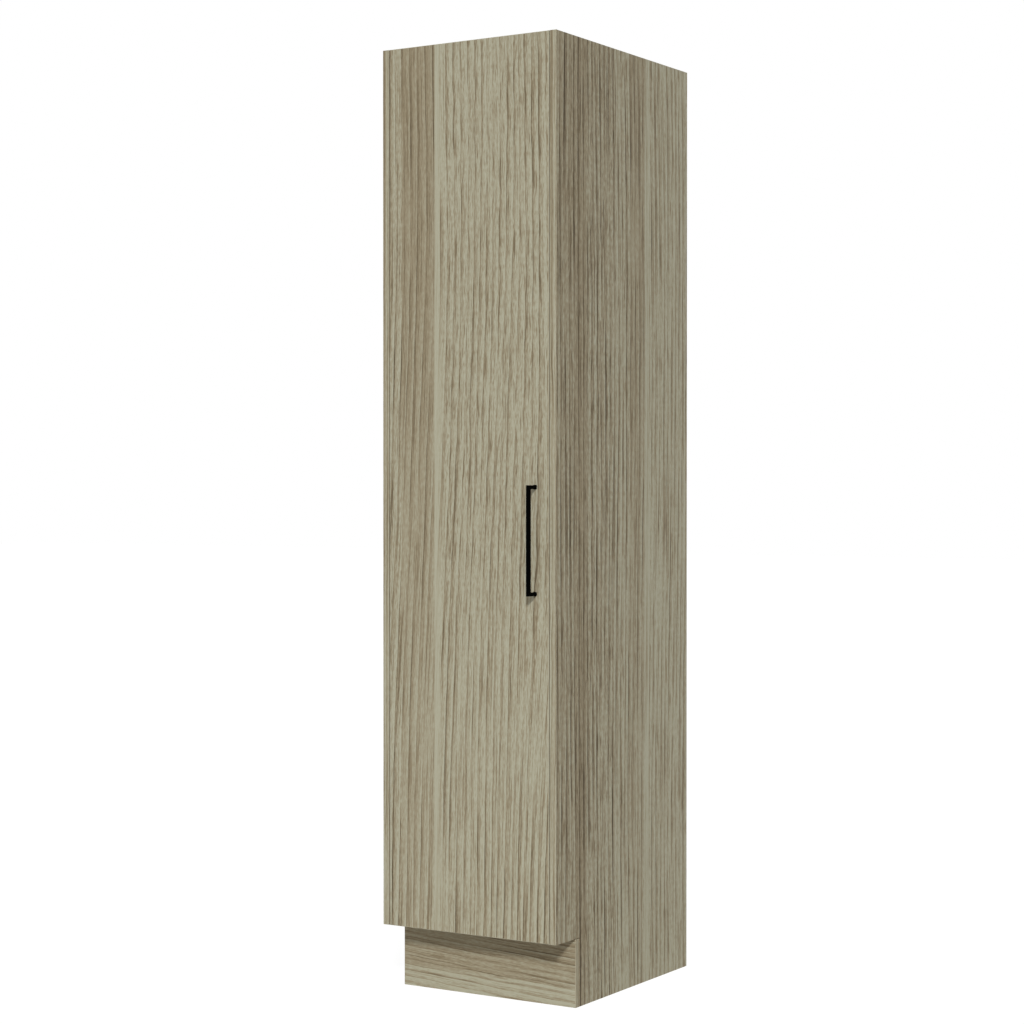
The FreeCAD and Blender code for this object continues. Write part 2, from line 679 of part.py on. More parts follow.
def door_edging():
    """The strips on the door's four edges."""
    strips = []
    for outer, inner in ((DOOR_LEFT, DOOR_LEFT + EDGING), (DOOR_RIGHT, DOOR_RIGHT - EDGING)):
        x0, x1 = sorted((outer, inner))
        keep = lambda middle: abs(middle.x - outer) < EDGING / 2
        strips.append(edging_strip(x0, x1, FRONT, DOOR_BACK, KICK_HEIGHT, HEIGHT, Z, keep))
    for outer, inner in ((KICK_HEIGHT, KICK_HEIGHT + EDGING), (HEIGHT, HEIGHT - EDGING)):
        z0, z1 = sorted((outer, inner))
        x0 = DOOR_LEFT + EDGING
        x1 = DOOR_RIGHT - EDGING
        keep = lambda middle: abs(middle.z - outer) < EDGING / 2
        strips.append(edging_strip(x0, x1, FRONT, DOOR_BACK, z0, z1, X, keep))
    return strips


def kick_edging(side):
    """The strip on one end of the kickboard."""
    outer = side * SIDE_OUTER
    x0, x1 = sorted((outer, outer - side * EDGING))
    keep = lambda middle: abs(middle.x - outer) < EDGING / 2
    return edging_strip(x0, x1, KICK_FRONT, KICK_BACK, 0, KICK_TOP, Z, keep)


def board_edging(half, front, underside):
    """The strip on the front edge of a level board."""
    outer = front + EDGING / 2
    top = underside + BOARD
    return edging_strip(-half, half, front, front + EDGING, underside, top, X, lambda middle: middle.y < outer)


# Handle and door stops

def handle_legs():
    """The heights of the handle's two legs."""
    half = (HANDLE_LENGTH - HANDLE_BAR) / 2
    return [HANDLE_MIDDLE - half, HANDLE_MIDDLE + half]


def handle():
    """The handle: a square bar with two legs, rounded on the side that the fingers hold."""
    x0 = HANDLE_X - HANDLE_BAR / 2
    bottom = HANDLE_MIDDLE - HANDLE_LENGTH / 2
    top = HANDLE_MIDDLE + HANDLE_LENGTH / 2
    face = FRONT - HANDLE_REACH
    outside = block(x0, x0 + HANDLE_BAR, face, FRONT, bottom, top)
    inside = block(
        x0, x0 + HANDLE_BAR, face + HANDLE_BAR, FRONT, bottom + HANDLE_BAR, top - HANDLE_BAR
    )
    hollow_edges = long_edges(inside, X, lambda middle: middle.y < FRONT - HANDLE_BAR)
    body = outside.cut(inside.makeFillet(HANDLE_INNER_RADIUS, hollow_edges))
    grip = []
    outer = []
    for edge in body.Edges:
        middle = edge.CenterOfMass
        on_flank = abs(abs(middle.x - HANDLE_X) - HANDLE_BAR / 2) < EDGING / 10
        on_door = abs(middle.y - FRONT) < EDGING / 10
        if on_flank and not on_door:
            on_rim = (
                middle.y < face + HANDLE_BAR / 4
                or middle.z < bottom + HANDLE_BAR / 4
                or middle.z > top - HANDLE_BAR / 4
            )
            (outer if on_rim else grip).append(edge)
    body = body.makeFillet(HANDLE_ROUNDING, grip)
    body = body.makeFillet(HANDLE_EDGE, matching(body, outer))
    holes = [
        rod(HANDLE_SCREW_RADIUS + HANDLE_SCREW_PLAY, at(HANDLE_X, FRONT, z), Y * -1, HANDLE_SCREW_GRIP)
        for z in handle_legs()
    ]
    return cut_all(body, holes)


def matching(body, edges):
    """The edges of body that lie where the given edges did before a fillet."""
    found = []
    for edge in body.Edges:
        if any((edge.CenterOfMass - old.CenterOfMass).Length < HANDLE_BAR / 4 for old in edges):
            found.append(edge)
    return found


def handle_screw(z):
    """A machine screw from the inside of the door into a handle leg."""
    length = BOARD + HANDLE_SCREW_GRIP - HANDLE_SCREW_RADIUS / 2
    outline = [
        (-HANDLE_SCREW_HEAD, HANDLE_SCREW_HEAD_RADIUS / 2),
        (-HANDLE_SCREW_HEAD / 2, HANDLE_SCREW_HEAD_RADIUS),
        (0, HANDLE_SCREW_HEAD_RADIUS),
        (0, HANDLE_SCREW_RADIUS),
        (length, HANDLE_SCREW_RADIUS),
    ]
    return turned(outline, at(HANDLE_X, DOOR_BACK, z), Y * -1)


def door_bumper(z):
    """A soft stop on the door's back, which meets the edge of a carcass board."""
    thick = DOOR_REST - BUMPER_PLAY
    outline = [
        (0, BUMPER_RADIUS),
        (thick / 2, BUMPER_RADIUS),
        (thick, BUMPER_RADIUS / 2),
    ]
    return turned(outline, at(DOOR_RIGHT - BUMPER_INSET, DOOR_BACK, z), Y)


def build():
    """Model every piece and write it to its own file."""
    os.makedirs("parts", exist_ok=True)
    save("left_side_panel", [side_panel(-1)])
    save("right_side_panel", [side_panel(1)])
    save("top_panel", [level_board("top_panel", CARCASS_FRONT, TOP_UNDERSIDE)])
    save("bottom_panel", [level_board("bottom_panel", CARCASS_FRONT, KICK_HEIGHT)])
    save("fixed_shelf", [level_board("fixed_shelf", SHELF_FRONT, FIXED_SHELF_UNDERSIDE)])
    save("adjustable_shelf", [loose_shelf()])
    save("back_panel", [back_panel()])
    save("upper_fixing_rail", [fixing_rail("upper_fixing_rail", UPPER_RAIL_MIDDLE)])
    save("lower_fixing_rail", [fixing_rail("lower_fixing_rail", LOWER_RAIL_MIDDLE)])
    save("kickboard", [kickboard()])
    save("side_edging", [side_edging(side) for side in SIDES])
    save("kick_edging", [kick_edging(side) for side in SIDES])
    save("carcass_edging", [
        board_edging(SIDE_INNER, CARCASS_FRONT, TOP_UNDERSIDE),
        board_edging(SIDE_INNER, CARCASS_FRONT, KICK_HEIGHT),
    ])
    save("shelf_edging", [
        board_edging(SIDE_INNER, SHELF_FRONT, FIXED_SHELF_UNDERSIDE),
        board_edging(SIDE_INNER - LOOSE_SHELF_END_PLAY, SHELF_FRONT, LOOSE_SHELF_UNDERSIDE),
    ])
    cams = []
    bolts = []
    dowels = []
    for cam_places, dowel_places in FIXINGS.values():
        for side in SIDES:
            cams += [cam_lock(side, y, z, pocket_side) for y, z, pocket_side in cam_places]
            bolts += [cam_bolt(side, y, z) for y, z, pocket_side in cam_places]
            dowels += [dowel(side, y, z) for y, z in dowel_places]
    save("cam_locks", cams)
    save("cam_bolts", bolts)
    save("wood_dowels", dowels)
    save("shelf_pins", [shelf_pin(side, y, PIN_HEIGHT) for side in SIDES for y in PIN_ROWS])
    save("kick_corner_blocks", [corner_block(side) for side in SIDES])
    save("kick_block_screws", [
        wood_screw(seat, way, SCREW_LENGTH) for side in SIDES for seat, way in block_screw_seats(side)
    ])
    save("hinge_plates", [hinge_plate(z) for z in HINGE_HEIGHTS])
    save("hinge_plate_screws", [
        wood_screw(seat, X * -1, SCREW_LENGTH) for z in HINGE_HEIGHTS for seat in plate_screw_seats(z)
    ])
    save("hinge_arms", [hinge_arm(z) for z in HINGE_HEIGHTS])
    save("hinge_arm_screws", [arm_screw(place, z) for z in HINGE_HEIGHTS for place in ARM_SCREW_PLACES])
    save("door_panel", [door_panel()])
    save("door_edging", door_edging())
    save("hinge_cups", [hinge_cup(z) for z in HINGE_HEIGHTS])
    save("hinge_pins", [
        rod(HINGE_PIN_RADIUS, at(PIVOT_X, PIVOT_Y, z - HINGE_PIN_LENGTH / 2), Z, HINGE_PIN_LENGTH)
        for z in HINGE_HEIGHTS
    ])
    save("hinge_cup_screws", [
        wood_screw(seat, Y * -1, CUP_SCREW_LENGTH) for z in HINGE_HEIGHTS for seat in cup_screw_seats(z)
    ])
    save("handle", [handle()])
    save("handle_screws", [handle_screw(z) for z in handle_legs()])
    save("door_bumpers", [door_bumper(z) for z in (KICK_HEIGHT + BOARD / 2, HEIGHT - BOARD / 2)])


build()
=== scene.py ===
"""The looks of a tall broom cupboard in a grey-brown oak decor.

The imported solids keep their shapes. Their boards get a printed oak decor on the faces and raw chipboard
on the cut edges, the fittings get their metal, plastic and rubber finishes, and every screw gets a head
with a driver recess. A plain studio with a white floor stands round the cupboard. Lengths are metres.
"""

import json
import logging
import math
from dataclasses import dataclass
from enum import Enum
from typing import Any, Sequence

import bmesh
import bpy
from mathutils import Color, Matrix, Vector

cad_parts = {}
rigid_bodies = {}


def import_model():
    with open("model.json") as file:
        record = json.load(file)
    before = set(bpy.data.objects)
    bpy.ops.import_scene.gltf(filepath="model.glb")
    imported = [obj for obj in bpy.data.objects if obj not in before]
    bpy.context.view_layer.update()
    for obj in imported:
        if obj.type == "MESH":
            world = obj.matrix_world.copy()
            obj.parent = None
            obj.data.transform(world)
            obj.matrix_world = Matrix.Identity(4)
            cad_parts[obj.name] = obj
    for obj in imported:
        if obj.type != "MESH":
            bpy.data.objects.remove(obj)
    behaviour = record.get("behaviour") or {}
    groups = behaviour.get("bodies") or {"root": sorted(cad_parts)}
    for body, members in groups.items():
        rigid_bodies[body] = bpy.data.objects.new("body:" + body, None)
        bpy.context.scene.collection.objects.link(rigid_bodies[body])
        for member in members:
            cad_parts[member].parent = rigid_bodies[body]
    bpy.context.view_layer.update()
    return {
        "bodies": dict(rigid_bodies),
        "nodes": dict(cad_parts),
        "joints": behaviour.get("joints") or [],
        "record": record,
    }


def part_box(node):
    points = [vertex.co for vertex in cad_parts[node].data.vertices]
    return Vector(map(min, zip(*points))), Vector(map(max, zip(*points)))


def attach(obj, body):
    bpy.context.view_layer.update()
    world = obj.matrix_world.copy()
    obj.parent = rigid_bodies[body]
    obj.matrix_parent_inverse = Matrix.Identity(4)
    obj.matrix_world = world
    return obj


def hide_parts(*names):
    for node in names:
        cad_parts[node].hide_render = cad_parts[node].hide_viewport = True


LOG = logging.getLogger("broom_cupboard")
MILLIMETRE = 0.001
SCREEN_WHITE = 255.0
FACING = 0.7

Colour = tuple[float, float, float, float]
Pair = tuple[float, float]
Triple = tuple[float, float, float]
Socket = bpy.types.NodeSocket
Sockets = bpy.types.bpy_prop_collection
Source = Socket | float | tuple[float, ...]
Corners = list[bmesh.types.BMVert]


def paint(red: int, green: int, blue: int) -> Colour:
    """A colour as it looks on a screen, from 0 to 255, as the linear colour that shaders take."""
    seen = Color((red / SCREEN_WHITE, green / SCREEN_WHITE, blue / SCREEN_WHITE))
    return (*seen.from_srgb_to_scene_linear(), 1.0)


def stand(name: str, data: bpy.types.ID) -> bpy.types.Object:
    """Put a new object into the scene.

    Args:
        name: The object's name.
        data: Its mesh, lamp or camera.

    Returns:
        The object.
    """
    made = bpy.data.objects.new(name, data)
    bpy.context.scene.collection.objects.link(made)
    return made


class Axis(Enum):
    """A direction of the cupboard's own frame."""

    X = (1.0, 0.0, 0.0)
    Y = (0.0, 1.0, 0.0)
    Z = (0.0, 0.0, 1.0)


class Lay(Enum):
    """How a board lies: the axes across its grain, along its grain and through its thickness."""

    UPRIGHT_FRONT = (Axis.X, Axis.Z, Axis.Y)
    UPRIGHT_SIDE = (Axis.Y, Axis.Z, Axis.X)
    LEVEL = (Axis.Y, Axis.X, Axis.Z)
    LYING_FRONT = (Axis.Z, Axis.X, Axis.Y)


class Effect(Enum):
    """A shader node group that several finishes share."""

    GRAIN_FRAME = "Grain frame"
    OAK_FIGURE = "Oak figure"
    OAK_PRINT = "Oak print"
    CHIP_CORE = "Chip core"
    TOUCH_MARKS = "Touch marks"
    FINE_SKIN = "Fine skin"


@dataclass
class Wiring:
    """A node tree while it is being wired.

    Args:
        tree: The node tree of a material, world or node group.
    """

    MIX_INPUTS = (0, 6, 7)
    MIX_RESULT = 2

    tree: bpy.types.NodeTree

    def node(self, kind: str, **settings: Any) -> bpy.types.Node:
        """Add one node.

        Args:
            kind: The node's type.
            settings: Properties to set on it.

        Returns:
            The new node.
        """
        made = self.tree.nodes.new(kind)
        for name, value in settings.items():
            setattr(made, name, value)
        return made

    def feed(self, socket: Socket, source: Source) -> None:
        """Link a socket to another node's output, or set its plain value.

        Args:
            socket: The input socket.
            source: An output socket or a value.
        """
        if isinstance(source, Socket):
            self.tree.links.new(source, socket)
        else:
            socket.default_value = source

    def wired(self, kind: str, values: dict[Any, Source], result: int | str = 0, **settings: Any) -> Socket:
        """Add one node and feed its inputs.

        Args:
            kind: The node's type.
            values: What goes into its inputs, by their numbers or names.
            result: The number or name of the output to hand back.
            settings: Properties to set on it.

        Returns:
            The chosen output.
        """
        made = self.node(kind, **settings)
        for place, value in values.items():
            self.feed(made.inputs[place], value)
        return made.outputs[result]

    def place(self, label: str) -> Socket:
        """A texture coordinate, such as the place on the object or its normal."""
        return self.node("ShaderNodeTexCoord").outputs[label]

    def finer(self, size: Source) -> Socket:
        """The place on the object, counted in steps of a size."""
        return self.scaled(self.place("Object"), self.sums("DIVIDE", 1.0, size))

    def sums(self, operation: str, *values: Source) -> Socket:
        """The result of one arithmetic operation."""
        return self.wired("ShaderNodeMath", dict(enumerate(values)), operation=operation)

    def between(self, share: Source, low: Source, high: Source) -> Socket:
        """The value that lies a share of the way from low to high."""
        return self.sums("MULTIPLY_ADD", self.sums("SUBTRACT", high, low), share, low)

    def dot(self, first: Source, second: Source) -> Socket:
        """The dot product of two vectors."""
        return self.wired("ShaderNodeVectorMath", {0: first, 1: second}, "Value", operation="DOT_PRODUCT")

    def vector(self, x: Source, y: Source, z: Source) -> Socket:
        """A vector put together from three values."""
        return self.wired("ShaderNodeCombineXYZ", {0: x, 1: y, 2: z})

    def parts(self, vector: Source) -> Sockets:
        """The three values of a vector."""
        return self.wired("ShaderNodeSeparateXYZ", {0: vector}).node.outputs

    def scaled(self, colour: Source, factor: Source) -> Socket:
        """A colour or vector multiplied by a factor."""
        plain = colour[:3] if isinstance(colour, tuple) else colour
        return self.wired("ShaderNodeVectorMath", {0: plain, "Scale": factor}, operation="SCALE")

    def noise(self, place: Source, detail: float = 0.0) -> Socket:
        """Smooth noise round one half, with one cell per unit of place and finer detail on top."""
        values = {"Vector": place, "Scale": 1.0, "Detail": detail}
        return self.wired("ShaderNodeTexNoise", values, noise_dimensions="3D")

    def mix(self, share: Source, first: Source, second: Source) -> Socket:
        """Two colours mixed, where the share says how much of the second one shows."""
        values = dict(zip(self.MIX_INPUTS, (share, first, second)))
        return self.wired("ShaderNodeMix", values, self.MIX_RESULT, data_type="RGBA")

    def bump(self, height: Source, depth: float) -> Socket:
        """A normal bumped by a height from 0 to 1, where 1 stands for the depth."""
        return self.wired("ShaderNodeBump", {"Distance": depth, "Height": height}, "Normal")

    def span(self, value: Source, *ends: float, smooth: bool = False) -> Socket:
        """A value mapped from the range of the first two ends to that of the last two, and clamped."""
        kind = "SMOOTHSTEP" if smooth else "LINEAR"
        return self.wired("ShaderNodeMapRange", dict(enumerate((value, *ends))), interpolation_type=kind)

    def group(self, effect: Effect, **values: Source) -> Sockets:
        """The outputs of a shared effect; an underscore in an input's name stands for a space."""
        named = {name.replace("_", " "): value for name, value in values.items()}
        return self.wired("ShaderNodeGroup", named, node_tree=bpy.data.node_groups[effect.value]).node.outputs

    def surface(self, **values: Source) -> None:
        """Feed the material's own shader; an underscore in an input's name stands for a space."""
        for name, value in values.items():
            self.feed(self.tree.nodes["Principled BSDF"].inputs[name.replace("_", " ")], value)

    def ramp(self, value: Source, stops: Sequence[tuple[float, Colour]]) -> Socket:
        """A colour ramp.

        Args:
            value: The place on the ramp, from 0 to 1.
            stops: Each stop's place and colour, in order.

        Returns:
            The colour.
        """
        colour = self.wired("ShaderNodeValToRGB", {0: value}, "Color")
        elements = colour.node.color_ramp.elements
        while len(elements) < len(stops):
            elements.new(1.0)
        for element, (place, shade) in zip(elements, stops):
            element.position = place
            element.color = shade
        return colour

    def drawn(self, ground: Source, figure: Sockets, gains: dict[str, Source]) -> Source:
        """Draw the parts of an oak figure on a ground.

        Args:
            ground: How dark the ground is.
            figure: The outputs of the oak figure.
            gains: How strongly each part shows, by the output's name.

        Returns:
            How dark the drawing is.
        """
        for label, gain in gains.items():
            ground = self.sums("MULTIPLY_ADD", figure[label], gain, ground)
        return ground


class Effects:
    """The maker of the shared node groups.

    The numbers of a noise are the width and length of its cells, unless the finish sets them, a shift that
    sets it apart from the other noises, and its finer detail. The numbers of marks are how far the growth
    rings pull the noise up, the noise at which the marks start and are full, and their strength.
    """

    DRIFT_NOISE = (0.35, 1.3, 31.3)
    FLICKER_NOISE = (0.022, 0.08, 47.7, 1.0)
    UNEVEN_NOISE = (0.045, 0.8, 53.1)
    RING_NOISE = (1.0, 0.4, 59.9, 1.0)
    SPECK_NOISE = (0.0007, 0.014, 19.1)
    CLOUD_NOISE = (0.10, 0.6, 23.9, 1.0)
    FIBRE_NOISE = (0.012, 17.3, 1.0)
    LINE_NOISE = (11.9, 1.0)
    DASH_NOISE = (13.7, 1.0)
    DASH_LENGTH = 0.2
    LINE_MARKS = (0.14, 0.56, 0.70)
    DASH_MARKS = (0.16, 0.57, 0.71)
    SPECK_MARKS = (0.12, 0.57, 0.68, 0.5)
    RING_UNEVENNESS = 0.35
    RING_STEP = 0.73
    RING_STRENGTH = (0.3, 0.65, 0.15, 1.0)
    EARLY_POWER = 2.6
    LATE_POWER = 5.0
    LATE_PALENESS = -0.35
    SINKING = -0.5
    INKS = (
        (0.0, paint(179, 176, 154)),
        (0.14, paint(167, 160, 137)),
        (0.24, paint(158, 148, 124)),
        (0.36, paint(147, 135, 110)),
        (0.5, paint(134, 121, 97)),
        (1.0, paint(86, 75, 57)),
    )
    FLAKES = ((0.0, paint(146, 112, 74)), (0.5, paint(186, 154, 112)), (1.0, paint(214, 188, 148)))
    FLAKE_TONE = (0.4, 0.3, 0.3)
    FLAKE_GAP = paint(104, 76, 48)
    GAP_SPAN = (0.45, 0.8, 0.0, 0.7)
    SMEAR_DETAIL = 3.0
    SMEAR_SPAN = (0.35, 0.65, 0.0, 1.0)
    SKIN_DETAIL = 2.0
    MOTTLE_SCALE = 0.06

    def build(self) -> None:
        """Build every group."""
        self.grain_frame()
        self.oak_figure()
        self.oak_print()
        self.chip_core()
        self.touch_marks()
        self.fine_skin()

    @staticmethod
    def start(effect: Effect, inputs: dict[str, Any],
              outputs: dict[str, str]) -> tuple[Wiring, Sockets, Sockets]:
        """Start a node group.

        Args:
            effect: The group.
            inputs: Its inputs with their starting values, a number or a vector.
            outputs: Its outputs with their kinds.

        Returns:
            The group's wiring, its input node's outputs and its output node's inputs.
        """
        tree = bpy.data.node_groups.new(effect.value, "ShaderNodeTree")
        for label, value in inputs.items():
            kind = "NodeSocketVector" if isinstance(value, tuple) else "NodeSocketFloat"
            made = tree.interface.new_socket(label, in_out="INPUT", socket_type=kind)
            made.default_value = value
        for label, kind in outputs.items():
            tree.interface.new_socket(label, in_out="OUTPUT", socket_type="NodeSocket" + kind)
        wiring = Wiring(tree)
        return wiring, wiring.node("NodeGroupInput").outputs, wiring.node("NodeGroupOutput").inputs

    def grain_frame(self) -> None:
        """Coordinates across and along a board's grain, and a mask of its printed faces."""
        inputs = {"Across": Axis.X.value, "Along": Axis.Z.value, "Through": Axis.Y.value, "Seed": 0.0}
        wiring, given, made = self.start(Effect.GRAIN_FRAME, inputs, {"Grain": "Vector", "Face": "Float"})
        place = wiring.place("Object")
        across, along = (wiring.dot(place, given[label]) for label in ("Across", "Along"))
        facing = wiring.sums("ABSOLUTE", wiring.dot(wiring.place("Normal"), given["Through"]))
        wiring.feed(made["Grain"], wiring.vector(across, along, given["Seed"]))
        wiring.feed(made["Face"], wiring.sums("GREATER_THAN", facing, FACING))

    def oak_figure(self) -> None:
        """The figure of oak: growth rings, dark pore lines, fine fibres and slow clouds."""
        inputs = {
            "Grain": (0.0, 0.0, 0.0),
            "Lean": 0.0,
            "Wander": 0.03,
            "Flame": 0.003,
            "Ring Pitch": 0.0175,
            "Line Width": 0.0017,
            "Line Length": 0.16,
        }
        labels = ("Rings", "Lines", "Pores", "Fibres", "Cloud", "Height")
        wiring, given, made = self.start(Effect.OAK_FIGURE, inputs, {label: "Float" for label in labels})
        across, along, seed = wiring.parts(given["Grain"])
        width = given["Line Width"]
        length = given["Line Length"]

        def layer(place: Source, cell: Source, reach: Source, shift: float, detail: float = 0.0) -> Socket:
            """Noise with cells of a given width and reach along the grain."""
            sides = (wiring.sums("DIVIDE", place, cell), wiring.sums("DIVIDE", along, reach))
            return wiring.noise(wiring.vector(*sides, wiring.sums("ADD", seed, shift)), detail)

        def centred(value: Source) -> Socket:
            """Noise moved to swing round zero, from about -1 to 1."""
            return wiring.sums("MULTIPLY_ADD", value, 2.0, -1.0)

        def marks(noise: Source, pull: float, start: float, full: float, strength: float = 1.0) -> Socket:
            """Dark marks where the noise is high, more of them in the rings."""
            pulled = wiring.sums("MULTIPLY_ADD", rings, pull, noise)
            return wiring.span(pulled, start, full, 0.0, strength, smooth=True)

        leant = wiring.sums("MULTIPLY_ADD", along, given["Lean"], across)
        drift = centred(layer(across, *self.DRIFT_NOISE))
        drifted = wiring.sums("MULTIPLY_ADD", drift, given["Wander"], leant)
        flicker = centred(layer(across, *self.FLICKER_NOISE))
        bent = wiring.sums("MULTIPLY_ADD", flicker, given["Flame"], drifted)
        uneven = centred(layer(across, *self.UNEVEN_NOISE))
        even = wiring.sums("DIVIDE", bent, given["Ring Pitch"])
        turns = wiring.sums("MULTIPLY_ADD", uneven, self.RING_UNEVENNESS, even)
        share = wiring.sums("FRACT", turns)
        early = wiring.sums("POWER", wiring.sums("SUBTRACT", 1.0, share), self.EARLY_POWER)
        late = wiring.sums("POWER", share, self.LATE_POWER)
        number = wiring.sums("MULTIPLY", wiring.sums("FLOOR", turns), self.RING_STEP)
        strength = wiring.span(layer(number, *self.RING_NOISE), *self.RING_STRENGTH)
        wood = wiring.sums("MULTIPLY_ADD", late, self.LATE_PALENESS, early)
        rings = wiring.sums("MULTIPLY", wood, strength)
        lines = marks(layer(bent, width, length, *self.LINE_NOISE), *self.LINE_MARKS)
        short = wiring.sums("MULTIPLY", length, self.DASH_LENGTH)
        dashes = marks(layer(bent, width, short, *self.DASH_NOISE), *self.DASH_MARKS)
        specks = marks(layer(bent, *self.SPECK_NOISE), *self.SPECK_MARKS)
        pores = wiring.sums("MAXIMUM", dashes, specks)
        fibres = layer(bent, width, *self.FIBRE_NOISE)
        cloud = centred(layer(across, *self.CLOUD_NOISE))
        sunk = wiring.sums("MULTIPLY", wiring.sums("ADD", fibres, pores), self.SINKING)
        height = wiring.sums("ADD", sunk, 1.0)
        for label, result in zip(labels, (rings, lines, pores, centred(fibres), cloud, height)):
            wiring.feed(made[label], result)

    def oak_print(self) -> None:
        """The print's inks: from pale grey-green wood through grey-brown to dark pores."""
        wiring, given, made = self.start(Effect.OAK_PRINT, {"Darkness": 0.2}, {"Colour": "Color"})
        wiring.feed(made["Colour"], wiring.ramp(given["Darkness"], self.INKS))

    def chip_core(self) -> None:
        """Raw chipboard: pale and brown flakes with dark gaps between them."""
        outputs = {"Colour": "Color", "Height": "Float"}
        wiring, given, made = self.start(Effect.CHIP_CORE, {"Flake": 0.0022}, outputs)
        values = {"Vector": wiring.finer(given["Flake"]), "Scale": 1.0}
        flakes = wiring.wired("ShaderNodeTexVoronoi", values, feature="F1").node.outputs
        tone = wiring.dot(flakes["Color"], self.FLAKE_TONE)
        gap = wiring.span(flakes["Distance"], *self.GAP_SPAN, smooth=True)
        wiring.feed(made["Colour"], wiring.mix(gap, wiring.ramp(tone, self.FLAKES), self.FLAKE_GAP))
        wiring.feed(made["Height"], wiring.sums("SUBTRACT", 1.0, gap))

    def touch_marks(self) -> None:
        """Faint smears and dust that change how shiny a surface is."""
        inputs = {"Shiny": 0.4, "Dull": 0.6, "Spot": 0.06}
        wiring, given, made = self.start(Effect.TOUCH_MARKS, inputs, {"Roughness": "Float"})
        spots = wiring.noise(wiring.finer(given["Spot"]), self.SMEAR_DETAIL)
        shown = wiring.span(spots, *self.SMEAR_SPAN)
        wiring.feed(made["Roughness"], wiring.between(shown, given["Shiny"], given["Dull"]))

    def fine_skin(self) -> None:
        """The fine skin of cast, moulded and powder-coated pieces."""
        outputs = {"Mottle": "Float", "Height": "Float"}
        wiring, given, made = self.start(Effect.FINE_SKIN, {"Grain": 0.0004}, outputs)
        fine = wiring.finer(given["Grain"])
        wiring.feed(made["Height"], wiring.noise(fine, self.SKIN_DETAIL))
        wiring.feed(made["Mottle"], wiring.noise(wiring.scaled(fine, self.MOTTLE_SCALE), self.SKIN_DETAIL))


@dataclass(frozen=True, kw_only=True)
class Finish:
    """A finish that pieces of the cupboard wear.

    Args:
        name: What it is called.
        specular: How strongly it mirrors; one half is usual.
    """

    name: str
    specular: float = 0.5

    def material(self) -> bpy.types.Material:
        """Make the material.

        Returns:
            The material.
        """
        made = bpy.data.materials.new(self.name)
        made.use_nodes = True
        wiring = Wiring(made.node_tree)
        wiring.surface(Specular_IOR_Level=self.specular)
        self.wire(wiring)
        return made

    def wire(self, wiring: Wiring) -> None:
        """Wire the surface, which every kind of finish does in its own way."""
        raise NotImplementedError


@dataclass(frozen=True)
class Plank:
    """One band of a printed decor.

    Args:
        start: Where the band starts across the board, from the decor's starting line.
        darkness: How dark its wood is between the rings and pores, at the floor and at the top.
        figure: How strongly its rings and pores show.
        blend: Width over which it takes over from the band before it.
    """

    start: float
    darkness: Pair
    figure: float = 1.0
    blend: float = 0.0008


